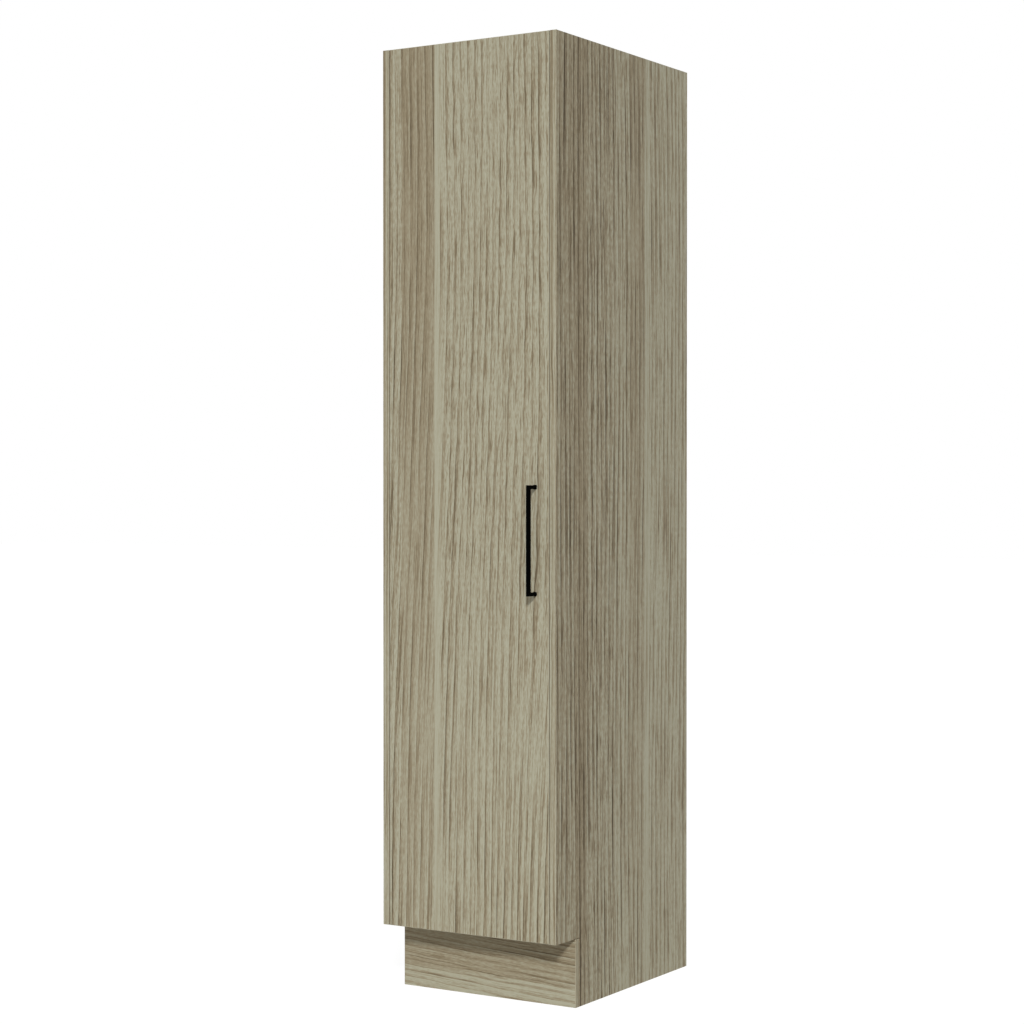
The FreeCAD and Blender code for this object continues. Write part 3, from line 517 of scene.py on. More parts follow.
@dataclass(frozen=True, kw_only=True)
class OakDecor(Finish):
    """The printed oak of one board, with raw chipboard on its cut edges.

    Args:
        lay: How the board lies.
        seed: Makes each board's figure its own.
        planks: The bands of the print, in order across the board.
        start_line: Where the first band starts.
        finish_line: Where the last band ends.
        lean: How far the grain leans, across per length along.
        sway: How far the grain swings to the side over the lower half of an upright board.
        wander: How far the grain drifts sideways.
        flame: How far it flickers sideways.
        lively_from: Places across and along the board past which the lines break into flickering dashes.
        ring_pitch: Spacing of the growth rings.
        line_width: Width of the dark lines and pores.
        line_length: Length of the dark lines.
        ring_gain: Strength of the growth rings.
        line_gain: Strength of the dark lines.
        pore_gain: Strength of the short pores.
        fibre_gain: Strength of the fine fibres.
        cloud_gain: Strength of the slow clouds.
    """

    RISE = (0.1, 2.0)
    SWAY_RISE = (0.3, 1.2)
    LIVELY_FADE = (0.02, 0.45)
    LIVELY_SHARES = {"Rings": 0.7, "Lines": 0.4, "Pores": 1.8}
    STILL_FLAME = 0.4
    SHINY = 0.5
    DULL = 0.62
    CUT_DULLNESS = 0.3
    PRINT_RELIEF = 0.3
    DEPTH = 0.15 * MILLIMETRE

    specular: float = 0.1
    lay: Lay
    seed: float
    planks: tuple[Plank, ...] = (Plank(0.0, (0.09, 0.09)),)
    start_line: float = 0.0
    finish_line: float = 1.0
    lean: float = 0.0
    sway: float = 0.0
    wander: float = 0.03
    flame: float = 0.003
    lively_from: Pair | None = None
    ring_pitch: float = 0.0175
    line_width: float = 0.0028
    line_length: float = 0.3
    ring_gain: float = 0.36
    line_gain: float = 0.36
    pore_gain: float = 0.22
    fibre_gain: float = 0.24
    cloud_gain: float = 0.06

    def stops(self) -> list[tuple[float, Colour]]:
        """The bands as stops of a ramp.

        Returns:
            Each stop's place and values: darkness at the floor and the top, zero, the figure's strength.
        """
        width = self.finish_line - self.start_line
        values = [(*plank.darkness, 0.0, plank.figure) for plank in self.planks]
        stops = [(0.0, values[0])]
        for plank, before, after in zip(self.planks[1:], values, values[1:]):
            half = plank.blend / 2.0
            stops.append(((plank.start - half) / width, before))
            stops.append(((plank.start + half) / width, after))
        return stops + [(1.0, values[-1])]

    def lively(self, wiring: Wiring, across: Source, along: Source) -> Source:
        """Wire a mask of where the grain flickers.

        Args:
            wiring: The material's wiring.
            across: The place across the grain.
            along: The place along the grain.

        Returns:
            1 where the lines break into dashes and 0 where they run long.
        """
        if self.lively_from is None:
            return 0.0
        first_across, first_along = self.lively_from
        fade_across, fade_along = self.LIVELY_FADE
        sideways = wiring.span(across, first_across, first_across + fade_across, 0.0, 1.0)
        upward = wiring.span(along, first_along, first_along + fade_along, 0.0, 1.0, smooth=True)
        return wiring.sums("MULTIPLY", sideways, upward)

    def darkness(self, wiring: Wiring, across: Source, along: Source, lively: Source,
                 figure: Sockets) -> Socket:
        """Wire how dark the print is.

        Args:
            wiring: The material's wiring.
            across: The place across the grain.
            along: The place along the grain.
            lively: Where the lines break into dashes.
            figure: The outputs of the oak figure.

        Returns:
            The darkness, from 0 to 1.
        """
        place = wiring.span(across, self.start_line, self.finish_line, 0.0, 1.0)
        bands = wiring.ramp(place, self.stops()).node.outputs
        at_floor, at_top = (wiring.dot(bands["Color"], axis.value) for axis in (Axis.X, Axis.Y))
        ground = wiring.between(wiring.span(along, *self.RISE, 0.0, 1.0), at_floor, at_top)
        gains = {"Rings": self.ring_gain, "Lines": self.line_gain, "Pores": self.pore_gain}
        for label, share in self.LIVELY_SHARES.items():
            gains[label] = wiring.span(lively, 0.0, 1.0, gains[label], share * gains[label])
        gains |= {"Fibres": self.fibre_gain, "Cloud": self.cloud_gain}
        return wiring.sums("MULTIPLY_ADD", wiring.drawn(0.0, figure, gains), bands["Alpha"], ground)

    def wire(self, wiring: Wiring) -> None:
        """Wire the print on the faces and raw chipboard on the cut edges.

        Args:
            wiring: The material's wiring.
        """
        axes = dict(zip(("Across", "Along", "Through"), (axis.value for axis in self.lay.value)))
        grain = wiring.group(Effect.GRAIN_FRAME, Seed=self.seed, **axes)
        across, along, seed = wiring.parts(grain["Grain"])
        lively = self.lively(wiring, across, along)
        flicker = wiring.span(lively, 0.0, 1.0, self.STILL_FLAME * self.flame, self.flame)
        swing = wiring.span(along, *self.SWAY_RISE, 0.0, self.sway, smooth=True)
        swayed = wiring.vector(wiring.sums("SUBTRACT", across, swing), along, seed)
        figure = wiring.group(
            Effect.OAK_FIGURE, Grain=swayed, Lean=self.lean, Wander=self.wander, Flame=flicker,
            Ring_Pitch=self.ring_pitch, Line_Width=self.line_width, Line_Length=self.line_length,
        )
        darkness = self.darkness(wiring, across, along, lively, figure)
        printed = wiring.group(Effect.OAK_PRINT, Darkness=darkness)["Colour"]
        core = wiring.group(Effect.CHIP_CORE)
        cut = wiring.sums("SUBTRACT", 1.0, grain["Face"])
        marks = wiring.group(Effect.TOUCH_MARKS, Shiny=self.SHINY, Dull=self.DULL)["Roughness"]
        relief = wiring.sums("MULTIPLY", core["Height"], cut)
        height = wiring.sums("MULTIPLY_ADD", figure["Height"], self.PRINT_RELIEF, relief)
        wiring.surface(
            Base_Color=wiring.mix(grain["Face"], core["Colour"], printed),
            Roughness=wiring.sums("MULTIPLY_ADD", cut, self.CUT_DULLNESS, marks),
            Normal=wiring.bump(height, self.DEPTH),
        )


@dataclass(frozen=True, kw_only=True)
class EdgingDecor(Finish):
    """The printed oak of a glued edging strip, painted paler where its arris is rounded: partly print wear,
    partly a painted highlight.

    Args:
        node: The strips.
        seed: Makes each group of strips its own.
        upright: Whether the strips stand, apart from those with a level face.
        darkness: How dark the print is between its lines, at the floor and at the top.
        right_darkness: The same for the right half of two upright strips, where it differs.
    """

    LEVEL_ACROSS = (0.0, 1.0, 1.0)
    UPRIGHT_ACROSS = (1.0, 1.0, 0.0)
    RISE = (0.8, 2.05)
    STRIP_WIDTH = 0.016
    HALVES = (0.0065, 0.0095)
    MARGIN = 0.1 * MILLIMETRE
    # The rounded arris is painted pale with this gain and colour: partly print wear, partly a painted
    # highlight.
    ARRIS = (0.90, 0.99)
    ARRIS_WEAR_AND_HIGHLIGHT_GAIN = 0.2
    ARRIS_WEAR_AND_HIGHLIGHT_COLOUR = paint(226, 219, 196)
    FIGURE = {"Wander": 0.01, "Ring_Pitch": 0.009, "Line_Length": 0.3}
    GAINS = {"Rings": 0.34, "Lines": 0.4, "Fibres": 0.2}
    MARKS = {"Shiny": 0.42, "Dull": 0.56}
    DEPTH = 0.03 * MILLIMETRE

    specular: float = 0.1
    node: str
    seed: float
    upright: bool
    darkness: Pair
    right_darkness: Pair | None = None

    def arris_wear_and_highlight(self, wiring: Wiring) -> Socket:
        """Wire a mask of the rounded arrises, where the print is painted pale: partly print wear, partly a
        painted highlight.

        Args:
            wiring: The material's wiring.

        Returns:
            The mask.
        """
        size = wiring.wired("ShaderNodeVectorMath", {0: wiring.place("Normal")}, operation="ABSOLUTE")
        x, y, z = wiring.parts(size)
        flat = wiring.sums("MAXIMUM", wiring.sums("MAXIMUM", x, y), z)
        return wiring.span(flat, *self.ARRIS, self.ARRIS_WEAR_AND_HIGHLIGHT_GAIN, 0.0)

    def ground(self, wiring: Wiring) -> Socket:
        """Wire how dark the print is between its lines.

        Args:
            wiring: The material's wiring.

        Returns:
            The darkness.
        """
        place = wiring.place("Object")
        height = wiring.dot(place, Axis.Z.value)
        left = wiring.span(height, *self.RISE, *self.darkness)
        if self.right_darkness is None:
            return left
        right = wiring.span(height, *self.RISE, *self.right_darkness)
        low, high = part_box(self.node)
        pitch = high.x - low.x - self.STRIP_WIDTH
        moved = wiring.sums("SUBTRACT", wiring.dot(place, Axis.X.value), low.x - self.MARGIN)
        share = wiring.span(wiring.sums("MODULO", moved, pitch), *self.HALVES, 0.0, 1.0)
        return wiring.between(share, left, right)

    def wire(self, wiring: Wiring) -> None:
        """Wire the print along each strip.

        Args:
            wiring: The material's wiring.
        """
        flat = {"Across": self.LEVEL_ACROSS, "Along": Axis.X.value, "Through": Axis.Z.value}
        level = wiring.group(Effect.GRAIN_FRAME, Seed=self.seed, **flat)
        tall = {"Across": self.UPRIGHT_ACROSS, "Along": Axis.Z.value}
        upright = wiring.group(Effect.GRAIN_FRAME, Seed=self.seed, **tall)
        lying = level["Face"] if self.upright else 1.0
        grain = wiring.mix(lying, upright["Grain"], level["Grain"])
        figure = wiring.group(Effect.OAK_FIGURE, Grain=grain, **self.FIGURE)
        darkness = wiring.drawn(self.ground(wiring), figure, self.GAINS)
        printed = wiring.group(Effect.OAK_PRINT, Darkness=darkness)["Colour"]
        wiring.surface(
            # The rounded arris is painted pale: partly print wear, partly a painted highlight.
            Base_Color=wiring.mix(self.arris_wear_and_highlight(wiring), printed, self.ARRIS_WEAR_AND_HIGHLIGHT_COLOUR),
            Roughness=wiring.group(Effect.TOUCH_MARKS, **self.MARKS)["Roughness"],
            Normal=wiring.bump(figure["Height"], self.DEPTH),
        )


@dataclass(frozen=True, kw_only=True)
class BackBoard(Finish):
    """Thin hardboard: a printed face inside and a brown meshed rear."""

    SEED = 61.0
    DARKNESS = 0.08
    GAINS = {"Rings": 0.25, "Lines": 0.3}
    FIBRE = paint(121, 90, 60)
    FIBRE_GRAIN = 0.0009
    FIBRE_TONE = 0.6
    MOTTLE = 0.7
    MESH = 0.0016
    RAISED_TONE = 0.35
    REAR_DULLNESS = 0.9
    FACE_DULLNESS = 0.55
    DEPTH = 0.2 * MILLIMETRE

    name: str = "back board"
    specular: float = 0.2

    def wire(self, wiring: Wiring) -> None:
        """Wire the printed face and the meshed rear.

        Args:
            wiring: The material's wiring.
        """
        grain = wiring.group(Effect.GRAIN_FRAME, Seed=self.SEED)
        figure = wiring.group(Effect.OAK_FIGURE, Grain=grain["Grain"])
        darkness = wiring.drawn(self.DARKNESS, figure, self.GAINS)
        printed = wiring.group(Effect.OAK_PRINT, Darkness=darkness)["Colour"]
        inside = wiring.sums("LESS_THAN", wiring.dot(wiring.place("Normal"), Axis.Y.value), -FACING)
        place = wiring.place("Object")
        wires = []
        for axis in (Axis.X, Axis.Z):
            turns = wiring.sums("MULTIPLY", wiring.dot(place, axis.value), math.tau / self.MESH)
            wires.append(wiring.sums("ABSOLUTE", wiring.sums("SINE", turns)))
        raised = wiring.sums("MULTIPLY", *wires)
        skin = wiring.group(Effect.FINE_SKIN, Grain=self.FIBRE_GRAIN)
        tone = wiring.sums("MULTIPLY_ADD", skin["Mottle"], self.MOTTLE, self.FIBRE_TONE)
        rear = wiring.scaled(self.FIBRE, wiring.sums("MULTIPLY_ADD", raised, self.RAISED_TONE, tone))
        rough = wiring.sums("MULTIPLY", raised, wiring.sums("SUBTRACT", 1.0, inside))
        wiring.surface(
            Base_Color=wiring.mix(inside, rear, printed),
            Roughness=wiring.span(inside, 0.0, 1.0, self.REAR_DULLNESS, self.FACE_DULLNESS),
            Normal=wiring.bump(rough, self.DEPTH),
        )


@dataclass(frozen=True, kw_only=True)
class Skin(Finish):
    """A cast, plated, moulded, rubbery or powder-coated skin.

    Args:
        colour: Its colour.
        metallic: 1 for metal and 0 for the rest.
        shiny: Roughness where it is smoothest.
        dull: Roughness where it is dullest.
        spot: Size of the dull spots.
        grain: Size of its surface grain.
        depth: Depth of that grain.
        mottle: How far its tone swings.
    """

    colour: Colour
    metallic: float = 0.0
    shiny: float
    dull: float
    spot: float = 0.03
    grain: float
    depth: float
    mottle: float = 0.24

    def wire(self, wiring: Wiring) -> None:
        """Wire the mottled colour, the dull spots and the surface grain.

        Args:
            wiring: The material's wiring.
        """
        skin = wiring.group(Effect.FINE_SKIN, Grain=self.grain)
        tone = wiring.sums("MULTIPLY_ADD", skin["Mottle"], self.mottle, 1.0 - self.mottle / 2.0)
        marks = wiring.group(Effect.TOUCH_MARKS, Shiny=self.shiny, Dull=self.dull, Spot=self.spot)
        wiring.surface(
            Base_Color=wiring.scaled(self.colour, tone),
            Metallic=self.metallic,
            Roughness=marks["Roughness"],
            Normal=wiring.bump(skin["Height"], self.depth),
        )


@dataclass(frozen=True, kw_only=True)
class Beech(Finish):
    """Plain beech of the dowels, with short dark flecks."""

    COLOUR = paint(205, 172, 128)
    FLECK = paint(150, 108, 70)
    FLECK_GAIN = 0.5
    FIGURE = {"Line_Width": 0.0012, "Line_Length": 0.006}
    MARKS = {"Shiny": 0.6, "Dull": 0.75, "Spot": 0.01}
    SEED = 83.0

    name: str = "beech"
    specular: float = 0.3

    def wire(self, wiring: Wiring) -> None:
        """Wire the flecked wood.

        Args:
            wiring: The material's wiring.
        """
        axes = {"Across": Axis.Y.value, "Along": Axis.X.value}
        grain = wiring.group(Effect.GRAIN_FRAME, Seed=self.SEED, **axes)
        figure = wiring.group(Effect.OAK_FIGURE, Grain=grain["Grain"], **self.FIGURE)
        shown = wiring.sums("MULTIPLY", figure["Lines"], self.FLECK_GAIN)
        wiring.surface(
            Base_Color=wiring.mix(shown, self.COLOUR, self.FLECK),
            Roughness=wiring.group(Effect.TOUCH_MARKS, **self.MARKS)["Roughness"],
        )


@dataclass
class Assembly:
    """A sub-assembly of the cupboard.

    Args:
        frame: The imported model.
    """

    frame: dict[str, Any]

    def wear(self, finish: Finish, *nodes: str) -> bpy.types.Material:
        """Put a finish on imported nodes.

        Args:
            finish: The finish.
            nodes: The nodes' names.

        Returns:
            The finish's material.
        """
        material = finish.material()
        for node in nodes:
            slots = self.frame["nodes"][node].data.materials
            slots.clear()
            slots.append(material)
            LOG.info("dressed %s in %s", node, material.name)
        return material

    @staticmethod
    def wall(mesh: bmesh.types.BMesh, loops: Sequence[Corners], smooth: bool) -> None:
        """Close the walls between loops of corners.

        Args:
            mesh: The mesh under way.
            loops: The loops, in order, with as many corners each.
            smooth: Whether the walls are shaded as round.
        """
        for outer, inner in zip(loops, loops[1:]):
            sides = list(zip(outer, inner))
            for first, second in zip(sides, sides[1:] + sides[:1]):
                mesh.faces.new((*first, *reversed(second))).smooth = smooth

    @staticmethod
    def add(name: str, mesh: bmesh.types.BMesh, material: bpy.types.Material) -> bpy.types.Object:
        """Finish a mesh and add it as a piece.

        Args:
            name: The piece's name.
            mesh: Its mesh.
            material: Its finish.

        Returns:
            The piece.
        """
        bmesh.ops.recalc_face_normals(mesh, faces=mesh.faces)
        data = bpy.data.meshes.new(name)
        mesh.to_mesh(data)
        mesh.free()
        data.materials.append(material)
        LOG.info("made %s", name)
        return stand(name, data)


@dataclass
class Carcass(Assembly):
    """The boards that stand still: sides, level boards, rails, back and their edging.

    Args:
        kick_height: Height of the kickboard's print.
    """

    SIDE_SEEDS = {"right_side_panel": 2.0, "left_side_panel": 102.0}
    SIDE_PLANKS = (
        Plank(0.0, (0.09, 0.21)),
        Plank(0.085, (0.25, 0.27), 0.9),
        Plank(0.130, (0.055, 0.12), 1.1),
        Plank(0.250, (0.0, 0.075), 0.85),
        Plank(0.320, (0.04, 0.215), 0.7),
        Plank(0.392, (0.0, 0.0), 0.35),
        Plank(0.414, (0.005, 0.035), 0.75),
    )
    # The kickboard's two print bands also carry painted light: the pale lower band is partly painted light
    # against the shade of the recess, and the darker upper band is partly painted shade under the door.
    KICK_PLANKS_AND_PAINTED_SHADING = (Plank(0.0, (0.0, 0.0), 0.75), Plank(0.045, (0.215, 0.215), 0.9, blend=0.012))
    PLAIN_BOARDS = {
        "top_panel": (Lay.LEVEL, 200.0),
        "bottom_panel": (Lay.LEVEL, 210.0),
        "fixed_shelf": (Lay.LEVEL, 220.0),
        "adjustable_shelf": (Lay.LEVEL, 230.0),
        "upper_fixing_rail": (Lay.LYING_FRONT, 300.0),
        "lower_fixing_rail": (Lay.LYING_FRONT, 310.0),
    }
    STRIPS = {
        "side_edging": {
            "upright": True, "darkness": (0.05, 0.32), "seed": 400.0, "right_darkness": (0.11, 0.04),
        },
        "kick_edging": {"upright": True, "darkness": (0.16, 0.16), "seed": 410.0},
        "carcass_edging": {"upright": False, "darkness": (0.12, 0.12), "seed": 420.0},
        "shelf_edging": {"upright": False, "darkness": (0.12, 0.12), "seed": 430.0},
    }

    kick_height: float = 0.15

    def dress(self) -> None:
        """Put the finishes on every board."""
        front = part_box("side_edging")[0].y
        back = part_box("right_side_panel")[1].y
        for node, seed in self.SIDE_SEEDS.items():
            side = OakDecor(
                name=node + " oak", lay=Lay.UPRIGHT_SIDE, seed=seed, planks=self.SIDE_PLANKS,
                start_line=front, finish_line=back, wander=0.015, ring_pitch=0.019, line_width=0.0038,
                ring_gain=0.4, line_gain=0.48, pore_gain=0.4,
            )
            self.wear(side, node)
        for node, (lay, seed) in self.PLAIN_BOARDS.items():
            self.wear(OakDecor(name=node + " oak", lay=lay, seed=seed), node)
        # The kickboard's print is partly painted light and painted shade of its recess under the door.
        kick = OakDecor(
            name="kickboard oak", lay=Lay.LYING_FRONT, seed=340.0, planks=self.KICK_PLANKS_AND_PAINTED_SHADING,
            finish_line=self.kick_height, lean=0.05, flame=0.006, ring_pitch=0.014, line_width=0.0022,
            line_length=0.26, ring_gain=0.28, line_gain=0.26, pore_gain=0.24, fibre_gain=0.2, cloud_gain=0.1,
        )
        self.wear(kick, "kickboard")
        for node, looks in self.STRIPS.items():
            self.wear(EdgingDecor(name=node + " oak", node=node, **looks), node)
        self.wear(BackBoard(), "back_panel")


@dataclass
class Door(Assembly):
    """The door: its board, edging, handle and soft stops.

    Args:
        lively_height: How far up the long lines start to break into dashes.
        foot_steps: Corners round a foot of the handle.
        foot_squareness: How square the feet are; 2 is round.
    """

    PLANKS = (
        Plank(0.0, (0.0, 0.095), 1.15),
        Plank(0.050, (0.06, 0.255), 0.75),
        Plank(0.138, (0.015, 0.015), 0.2),
        Plank(0.154, (0.02, 0.03), 0.98, blend=0.018),
    )
    # The door's edging is printed pale, partly as painted light that lifts the shaded gaps beside the door.
    EDGING = EdgingDecor(
        name="door_edging oak", node="door_edging", seed=440.0, upright=True, darkness=(0.04, 0.04)
    )
    COAT = Skin(
        name="black powder coat", colour=paint(2, 2, 2), specular=0.015, shiny=0.5, dull=0.62, grain=0.0004,
        depth=0.02 * MILLIMETRE,
    )
    STOP = Skin(
        name="soft stop", colour=paint(206, 206, 200), specular=0.4, shiny=0.35, dull=0.5, grain=0.0008,
        depth=0.01 * MILLIMETRE,
    )
    FOOT = (
        (0.00490, 0.0), (0.00505, 0.0005), (0.00495, 0.0012),
        (0.00460, 0.0021), (0.00415, 0.0032), (0.0037, 0.0042),
    )

    lively_height: float = 0.6
    foot_steps: int = 48
    foot_squareness: float = 3.4

    def dress(self) -> None:
        """Put the finishes on the door's pieces."""
        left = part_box("left_side_panel")[0].x
        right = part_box("right_side_panel")[1].x
        lively_from = (left + self.PLANKS[-1].start, self.lively_height)
        board = OakDecor(
            name="door oak", lay=Lay.UPRIGHT_FRONT, seed=5.0, planks=self.PLANKS, start_line=left,
            finish_line=right, sway=0.022, wander=0.05, flame=0.0035, lively_from=lively_from,
            line_width=0.0021, line_gain=0.4, pore_gain=0.25,
        )
        self.wear(board, "door_panel")
        self.wear(self.EDGING, self.EDGING.node)
        self.feet(self.wear(self.COAT, "handle"))
        self.wear(self.STOP, "door_bumpers")

    def foot_outline(self, half: float) -> list[Pair]:
        """The outline of a foot: a square with softly rounded corners.

        Args:
            half: Half its width.

        Returns:
            Its corners in order, sideways and upward from its middle.
        """
        corners = []
        for step in range(self.foot_steps):
            angle = math.tau * step / self.foot_steps
            x, z = math.cos(angle), math.sin(angle)
            square = abs(x) ** self.foot_squareness + abs(z) ** self.foot_squareness
            radius = half / square ** (1.0 / self.foot_squareness)
            corners.append((radius * x, radius * z))
        return corners

    def feet(self, coat: bpy.types.Material) -> None:
        """Flare the handle's legs into a small rounded foot at the door.

        Args:
            coat: The handle's finish.
        """
        low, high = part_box("handle")
        bar = high.x - low.x
        middle = (low.x + high.x) / 2.0
        mesh = bmesh.new()
        for height in (low.z + bar / 2.0, high.z - bar / 2.0):
            loops = []
            for half, lift in self.FOOT:
                outline = self.foot_outline(half)
                loops.append([mesh.verts.new((middle + x, high.y - lift, height + z)) for x, z in outline])
            self.wall(mesh, loops, smooth=True)
            mesh.faces.new(loops[0])
            mesh.faces.new(loops[-1])
        piece = self.add("handle_feet", mesh, coat)
        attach(piece, "door")


@dataclass
class Fittings(Assembly):
    """Hinges, cams, bolts, dowels, pins, corner blocks and screws."""

    FINISHES = {
        "zinc_castings": Skin(
            name="zinc casting", colour=paint(196, 196, 194), metallic=1.0, shiny=0.3, dull=0.45, spot=0.01,
            grain=0.0006, depth=0.02 * MILLIMETRE, mottle=0.3,
        ),
        "plated_steel": Skin(
            name="nickel plate", colour=paint(208, 206, 201), metallic=1.0, shiny=0.18, dull=0.3, spot=0.01,
            grain=0.0003, depth=0.004 * MILLIMETRE, mottle=0.3,
        ),
        "beech_dowel": Beech(),
        "block_plastic": Skin(
            name="moulded block", colour=paint(222, 220, 212), shiny=0.42, dull=0.55, grain=0.0005,
            depth=0.02 * MILLIMETRE,
        ),
    }

    def dress(self) -> None:
        """Put the finishes on every fitting, by the material slots of the record."""
        rows = self.frame["record"]["subparts"]
        made = {}
        for slot, finish in self.FINISHES.items():
            made[slot] = self.wear(finish, *(row["node"] for row in rows if row["material_slot"] == slot))
        Screws(self.frame, made["plated_steel"]).dress()


@dataclass(frozen=True)
class Turning:
    """One screw as it was packed.

    Args:
        place: Turns a screw that stands head up at the origin into this one.
        head_radius: Radius of its head.
        head: Height of its head.
        shank_radius: Radius of its shank.
        point_start: How far from the top of the head its point starts.
        point_radius: Radius at the end of the point.
        length: Its whole length.
    """

    NEARLY = 0.98
    STEP = 0.1 * MILLIMETRE

    place: Matrix
    head_radius: float
    head: float
    shank_radius: float
    point_start: float
    point_radius: float
    length: float

    @classmethod
    def measured(cls, points: Sequence[Vector]) -> "Turning":
        """Measure a turned solid.

        Args:
            points: The solid's corners.

        Returns:
            Its place and sizes.
        """
        low = Vector([min(point[axis] for point in points) for axis in range(3)])
        high = Vector([max(point[axis] for point in points) for axis in range(3)])
        sizes = high - low
        axis = min(range(3), key=lambda number: abs(sizes[number - 1] - sizes[number - 2]))
        length = sizes[axis]
        middle = (low + high) / 2.0
        rows = []
        for point in points:
            off = point - middle
            rise = off[axis]
            off[axis] = 0.0
            rows.append((rise, off.length))
        head_radius = max(radius for rise, radius in rows)
        rim = [rise for rise, radius in rows if radius > cls.NEARLY * head_radius]
        way = 1.0 if sum(rim) > 0.0 else -1.0
        depths = [(length / 2.0 - way * rise, radius) for rise, radius in rows]
        head = max(depth for depth, radius in depths if radius > cls.NEARLY * head_radius)
        shank = max(radius for depth, radius in depths if depth > head + cls.STEP)
        up = Vector((0.0, 0.0, 0.0))
        up[axis] = way
        turn = up.to_track_quat("Z", "Y").to_matrix().to_4x4()
        return cls(
            place=Matrix.Translation(middle + up * (length / 2.0)) @ turn,
            head_radius=head_radius,
            head=head,
            shank_radius=shank,
            point_start=max(depth for depth, radius in depths if radius > cls.NEARLY * shank),
            point_radius=max(radius for depth, radius in depths if depth > length - cls.STEP),
            length=length,
        )


@dataclass
class Screws(Assembly):
    """The screws, turned again with a domed head and a cross recess for the driver.

    Args:
        plating: Their finish.
        segments: Steps round a screw.
        spin: How far each recess is turned from the one before it.
    """

    SETS = {
        "hinge_cup_screws": "door",
        "handle_screws": "door",
        "hinge_plate_screws": "carcass",
        "hinge_arm_screws": "carcass",
        "kick_block_screws": "carcass",
    }
    DOME = ((0.5, 0.0), (0.7, 0.21), (0.9, 0.44), (0.985, 0.68), (1.0, 1.0))
    RECESS_REACH = 0.42
    RECESS_HALF = 0.12
    RECESS_DEPTH = 0.6
    RECESS_TAPER = 0.6
    QUARTERS = ((1, 0), (0, 1), (-1, 0), (0, -1))
    SAME_CORNER = 0.001 * MILLIMETRE

    plating: bpy.types.Material
    segments: int = 24
    spin: float = 2.4

    def solids(self, mesh: bpy.types.Mesh) -> list[list[Vector]]:
        """Take a node's mesh apart.

        Args:
            mesh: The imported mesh.

        Returns:
            The corners of each of its solids.
        """
        source = bmesh.new()
        source.from_mesh(mesh)
        bmesh.ops.remove_doubles(source, verts=source.verts, dist=self.SAME_CORNER)
        met = set()
        found = []
        for start in source.verts:
            if start in met:
                continue
            met.add(start)
            group = [start]
            for corner in group:
                for edge in corner.link_edges:
                    other = edge.other_vert(corner)
                    if other not in met:
                        met.add(other)
                        group.append(other)
            found.append([corner.co.copy() for corner in group])
        source.free()
        return found

    def cross(self, reach: float, half: float, height: float) -> list[Triple]:
        """The outline of a level cross, from its arms' reach, half their width and its height."""
        arm = ((reach, -half), (reach, half), (half, half))
        return [(x * cos - y * sin, x * sin + y * cos, height) for cos, sin in self.QUARTERS for x, y in arm]

    @staticmethod
    def hoop(mesh: bmesh.types.BMesh, loop: Corners) -> list[bmesh.types.BMEdge]:
        """The edges round a loop of corners."""
        return [mesh.edges.get(pair) for pair in zip(loop, loop[1:] + loop[:1])]

    def turn(self, mesh: bmesh.types.BMesh, screw: Turning, angle: float) -> None:
        """Add one screw to a mesh.

        Args:
            mesh: The mesh under way.
            screw: The screw's place and sizes.
            angle: How far its recess is turned.
        """
        place = screw.place @ Matrix.Rotation(angle, 4, "Z")
        rings = [(screw.head_radius * wide, screw.head * deep) for wide, deep in self.DOME]
        rings += [(screw.shank_radius, screw.head), (screw.shank_radius, screw.point_start)]
        if screw.length - screw.point_start > Turning.STEP:
            rings.append((screw.point_radius, screw.length))
        turns = [math.tau * step / self.segments for step in range(self.segments)]
        circle = [(math.cos(turn), math.sin(turn)) for turn in turns]
        reach = screw.head_radius * self.RECESS_REACH
        half = screw.head_radius * self.RECESS_HALF
        taper = self.RECESS_TAPER
        pit = self.cross(reach * taper, half * taper, -screw.head * self.RECESS_DEPTH)
        outlines = [[(radius * x, radius * y, -depth) for x, y in circle] for radius, depth in rings]
        outlines += [pit, self.cross(reach, half, 0.0)]
        loops = [[mesh.verts.new(place @ Vector(point)) for point in outline] for outline in outlines]
        body, recess = loops[:-2], loops[-2:]
        self.wall(mesh, body, smooth=True)
        self.wall(mesh, recess, smooth=False)
        mesh.faces.new(body[-1])
        mesh.faces.new(recess[0])
        rim = self.hoop(mesh, body[0]) + self.hoop(mesh, recess[1])
        bmesh.ops.triangle_fill(mesh, edges=rim, use_beauty=True)
        seat = len(self.DOME) - 1
        for edge in self.hoop(mesh, body[seat]) + self.hoop(mesh, body[seat + 1]):
            edge.smooth = False

    def dress(self) -> None:
        """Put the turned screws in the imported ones' places."""
        for node, body in self.SETS.items():
            mesh = bmesh.new()
            for number, points in enumerate(self.solids(self.frame["nodes"][node].data)):
                self.turn(mesh, Turning.measured(points), self.spin * number)
            piece = self.add(node + "_turned", mesh, self.plating)
            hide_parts(node)
            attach(piece, body)


@dataclass(frozen=True)
class Lamp:
    """A far lamp.

    Args:
        name: Its name.
        way: The direction from the cupboard to the lamp.
        level: Its brightness on a surface that faces it.
        spread: Its angular size in degrees.
    """

    name: str
    way: Triple
    level: float
    spread: float

    def hang(self) -> None:
        """Hang the lamp."""
        made = stand(self.name, bpy.data.lights.new(self.name, "SUN"))
        made.data.energy = math.pi * self.level
        made.data.angle = math.radians(self.spread)
        made.rotation_euler = Vector(self.way).to_track_quat("Z", "Y").to_euler()


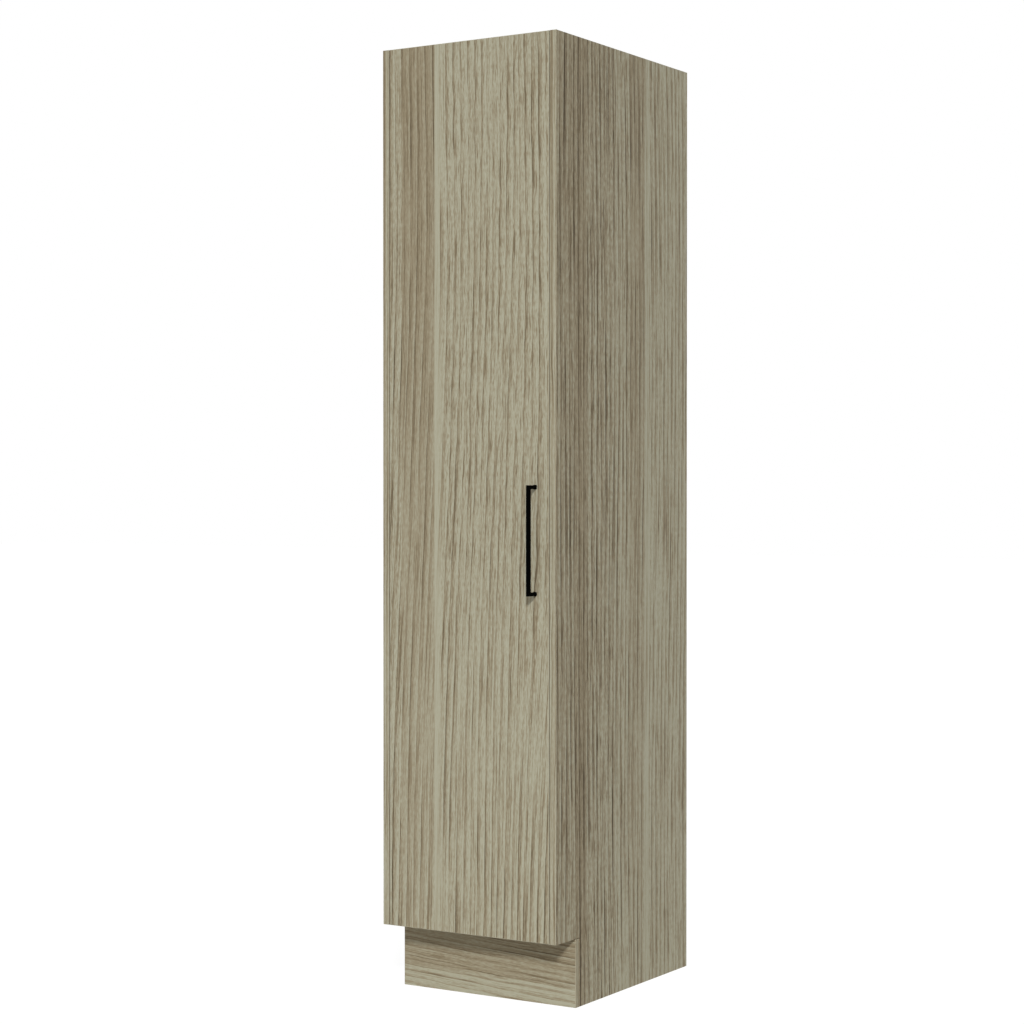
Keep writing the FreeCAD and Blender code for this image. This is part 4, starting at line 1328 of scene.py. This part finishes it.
@dataclass
class Studio:
    """The plain studio: camera, lamps, white surroundings and floor.

    Args:
        eye: Where the camera stands.
        turn: How far it is turned to the left, in degrees.
        tilt: How far it looks down, in degrees.
        lens: Focal length in millimetres.
        sensor: Width of the sensor in millimetres.
        ambient: Brightness of the surroundings as light.
        floor_half: Half the width of the floor.
        floor_drop: How far the floor lies under the cupboard's feet.
        floor_bounce: How much light the floor throws back.
        floor_shade: How strongly shadows show on it.
        floor_glow: How bright it is in full shadow.
    """

    LAMPS = (
        Lamp("main_lamp", (0.46, -0.74, 0.5), 0.6, 8.0),
        Lamp("fill_lamp", (0.0, -1.0, 0.1), 0.06, 15.0),
    )

    eye: Triple = (2.7189, -4.4468, 1.1253)
    turn: float = 32.03
    tilt: float = 0.598
    lens: float = 80.14
    sensor: float = 36.0
    ambient: float = 0.37
    floor_half: float = 30.0
    floor_drop: float = 0.2 * MILLIMETRE
    floor_bounce: float = 0.75
    floor_shade: float = 0.16
    floor_glow: float = 0.93

    def camera(self) -> None:
        """Stand the camera where the photograph was taken."""
        made = stand("camera", bpy.data.cameras.new("camera"))
        made.data.lens = self.lens
        made.data.sensor_width = self.sensor
        made.location = self.eye
        made.rotation_euler = (math.radians(90.0 - self.tilt), 0.0, math.radians(self.turn))
        bpy.context.scene.camera = made

    @staticmethod
    def seen_directly(wiring: Wiring) -> Socket:
        """Wire a mask of the rays that come straight from the camera, a mirror or glass.

        Args:
            wiring: The wiring of the surroundings or the floor.

        Returns:
            The mask.
        """
        path = wiring.node("ShaderNodeLightPath").outputs
        shiny = wiring.sums("MAXIMUM", path["Is Glossy Ray"], path["Is Transmission Ray"])
        return wiring.sums("MAXIMUM", path["Is Camera Ray"], shiny)

    def surroundings(self) -> None:
        """Make the surroundings white to look at and evenly dim as light."""
        world = bpy.data.worlds.new("studio")
        world.use_nodes = True
        bpy.context.scene.world = world
        wiring = Wiring(world.node_tree)
        background = world.node_tree.nodes["Background"].inputs
        background["Color"].default_value = (1.0, 1.0, 1.0, 1.0)
        seen = self.seen_directly(wiring)
        wiring.feed(background["Strength"], wiring.span(seen, 0.0, 1.0, self.ambient, 1.0))

    def floor(self) -> None:
        """Lay the floor: white to look at, with a faint shadow of the cupboard."""
        half = self.floor_half
        mesh = bpy.data.meshes.new("studio_floor")
        sides = ((-half, -half), (half, -half), (half, half), (-half, half))
        mesh.from_pydata([(x, y, -self.floor_drop) for x, y in sides], [], [(0, 1, 2, 3)])
        material = bpy.data.materials.new("studio floor")
        material.use_nodes = True
        nodes = material.node_tree.nodes
        nodes.remove(nodes["Principled BSDF"])
        wiring = Wiring(material.node_tree)
        seen = self.seen_directly(wiring)
        bounce, shade = ((level, level, level, 1.0) for level in (self.floor_bounce, self.floor_shade))
        matt = wiring.wired("ShaderNodeBsdfDiffuse", {"Color": wiring.mix(seen, bounce, shade)})
        strength = wiring.span(seen, 0.0, 1.0, 0.0, self.floor_glow)
        glow = wiring.wired("ShaderNodeEmission", {"Strength": strength})
        both = wiring.wired("ShaderNodeAddShader", {0: matt, 1: glow})
        wiring.feed(nodes["Material Output"].inputs["Surface"], both)
        mesh.materials.append(material)
        stand("studio_floor", mesh)

    def build(self) -> None:
        """Set the whole studio up."""
        bpy.context.scene.view_settings.view_transform = "Standard"
        self.camera()
        for lamp in self.LAMPS:
            lamp.hang()
        self.surroundings()
        self.floor()


def main() -> None:
    """Build the looks in order."""
    logging.basicConfig(level=logging.INFO, format="%(message)s")
    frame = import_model()
    Effects().build()
    for assembly in (Carcass(frame), Door(frame), Fittings(frame)):
        assembly.dress()
    Studio().build()


if __name__ == "__main__":
    main()
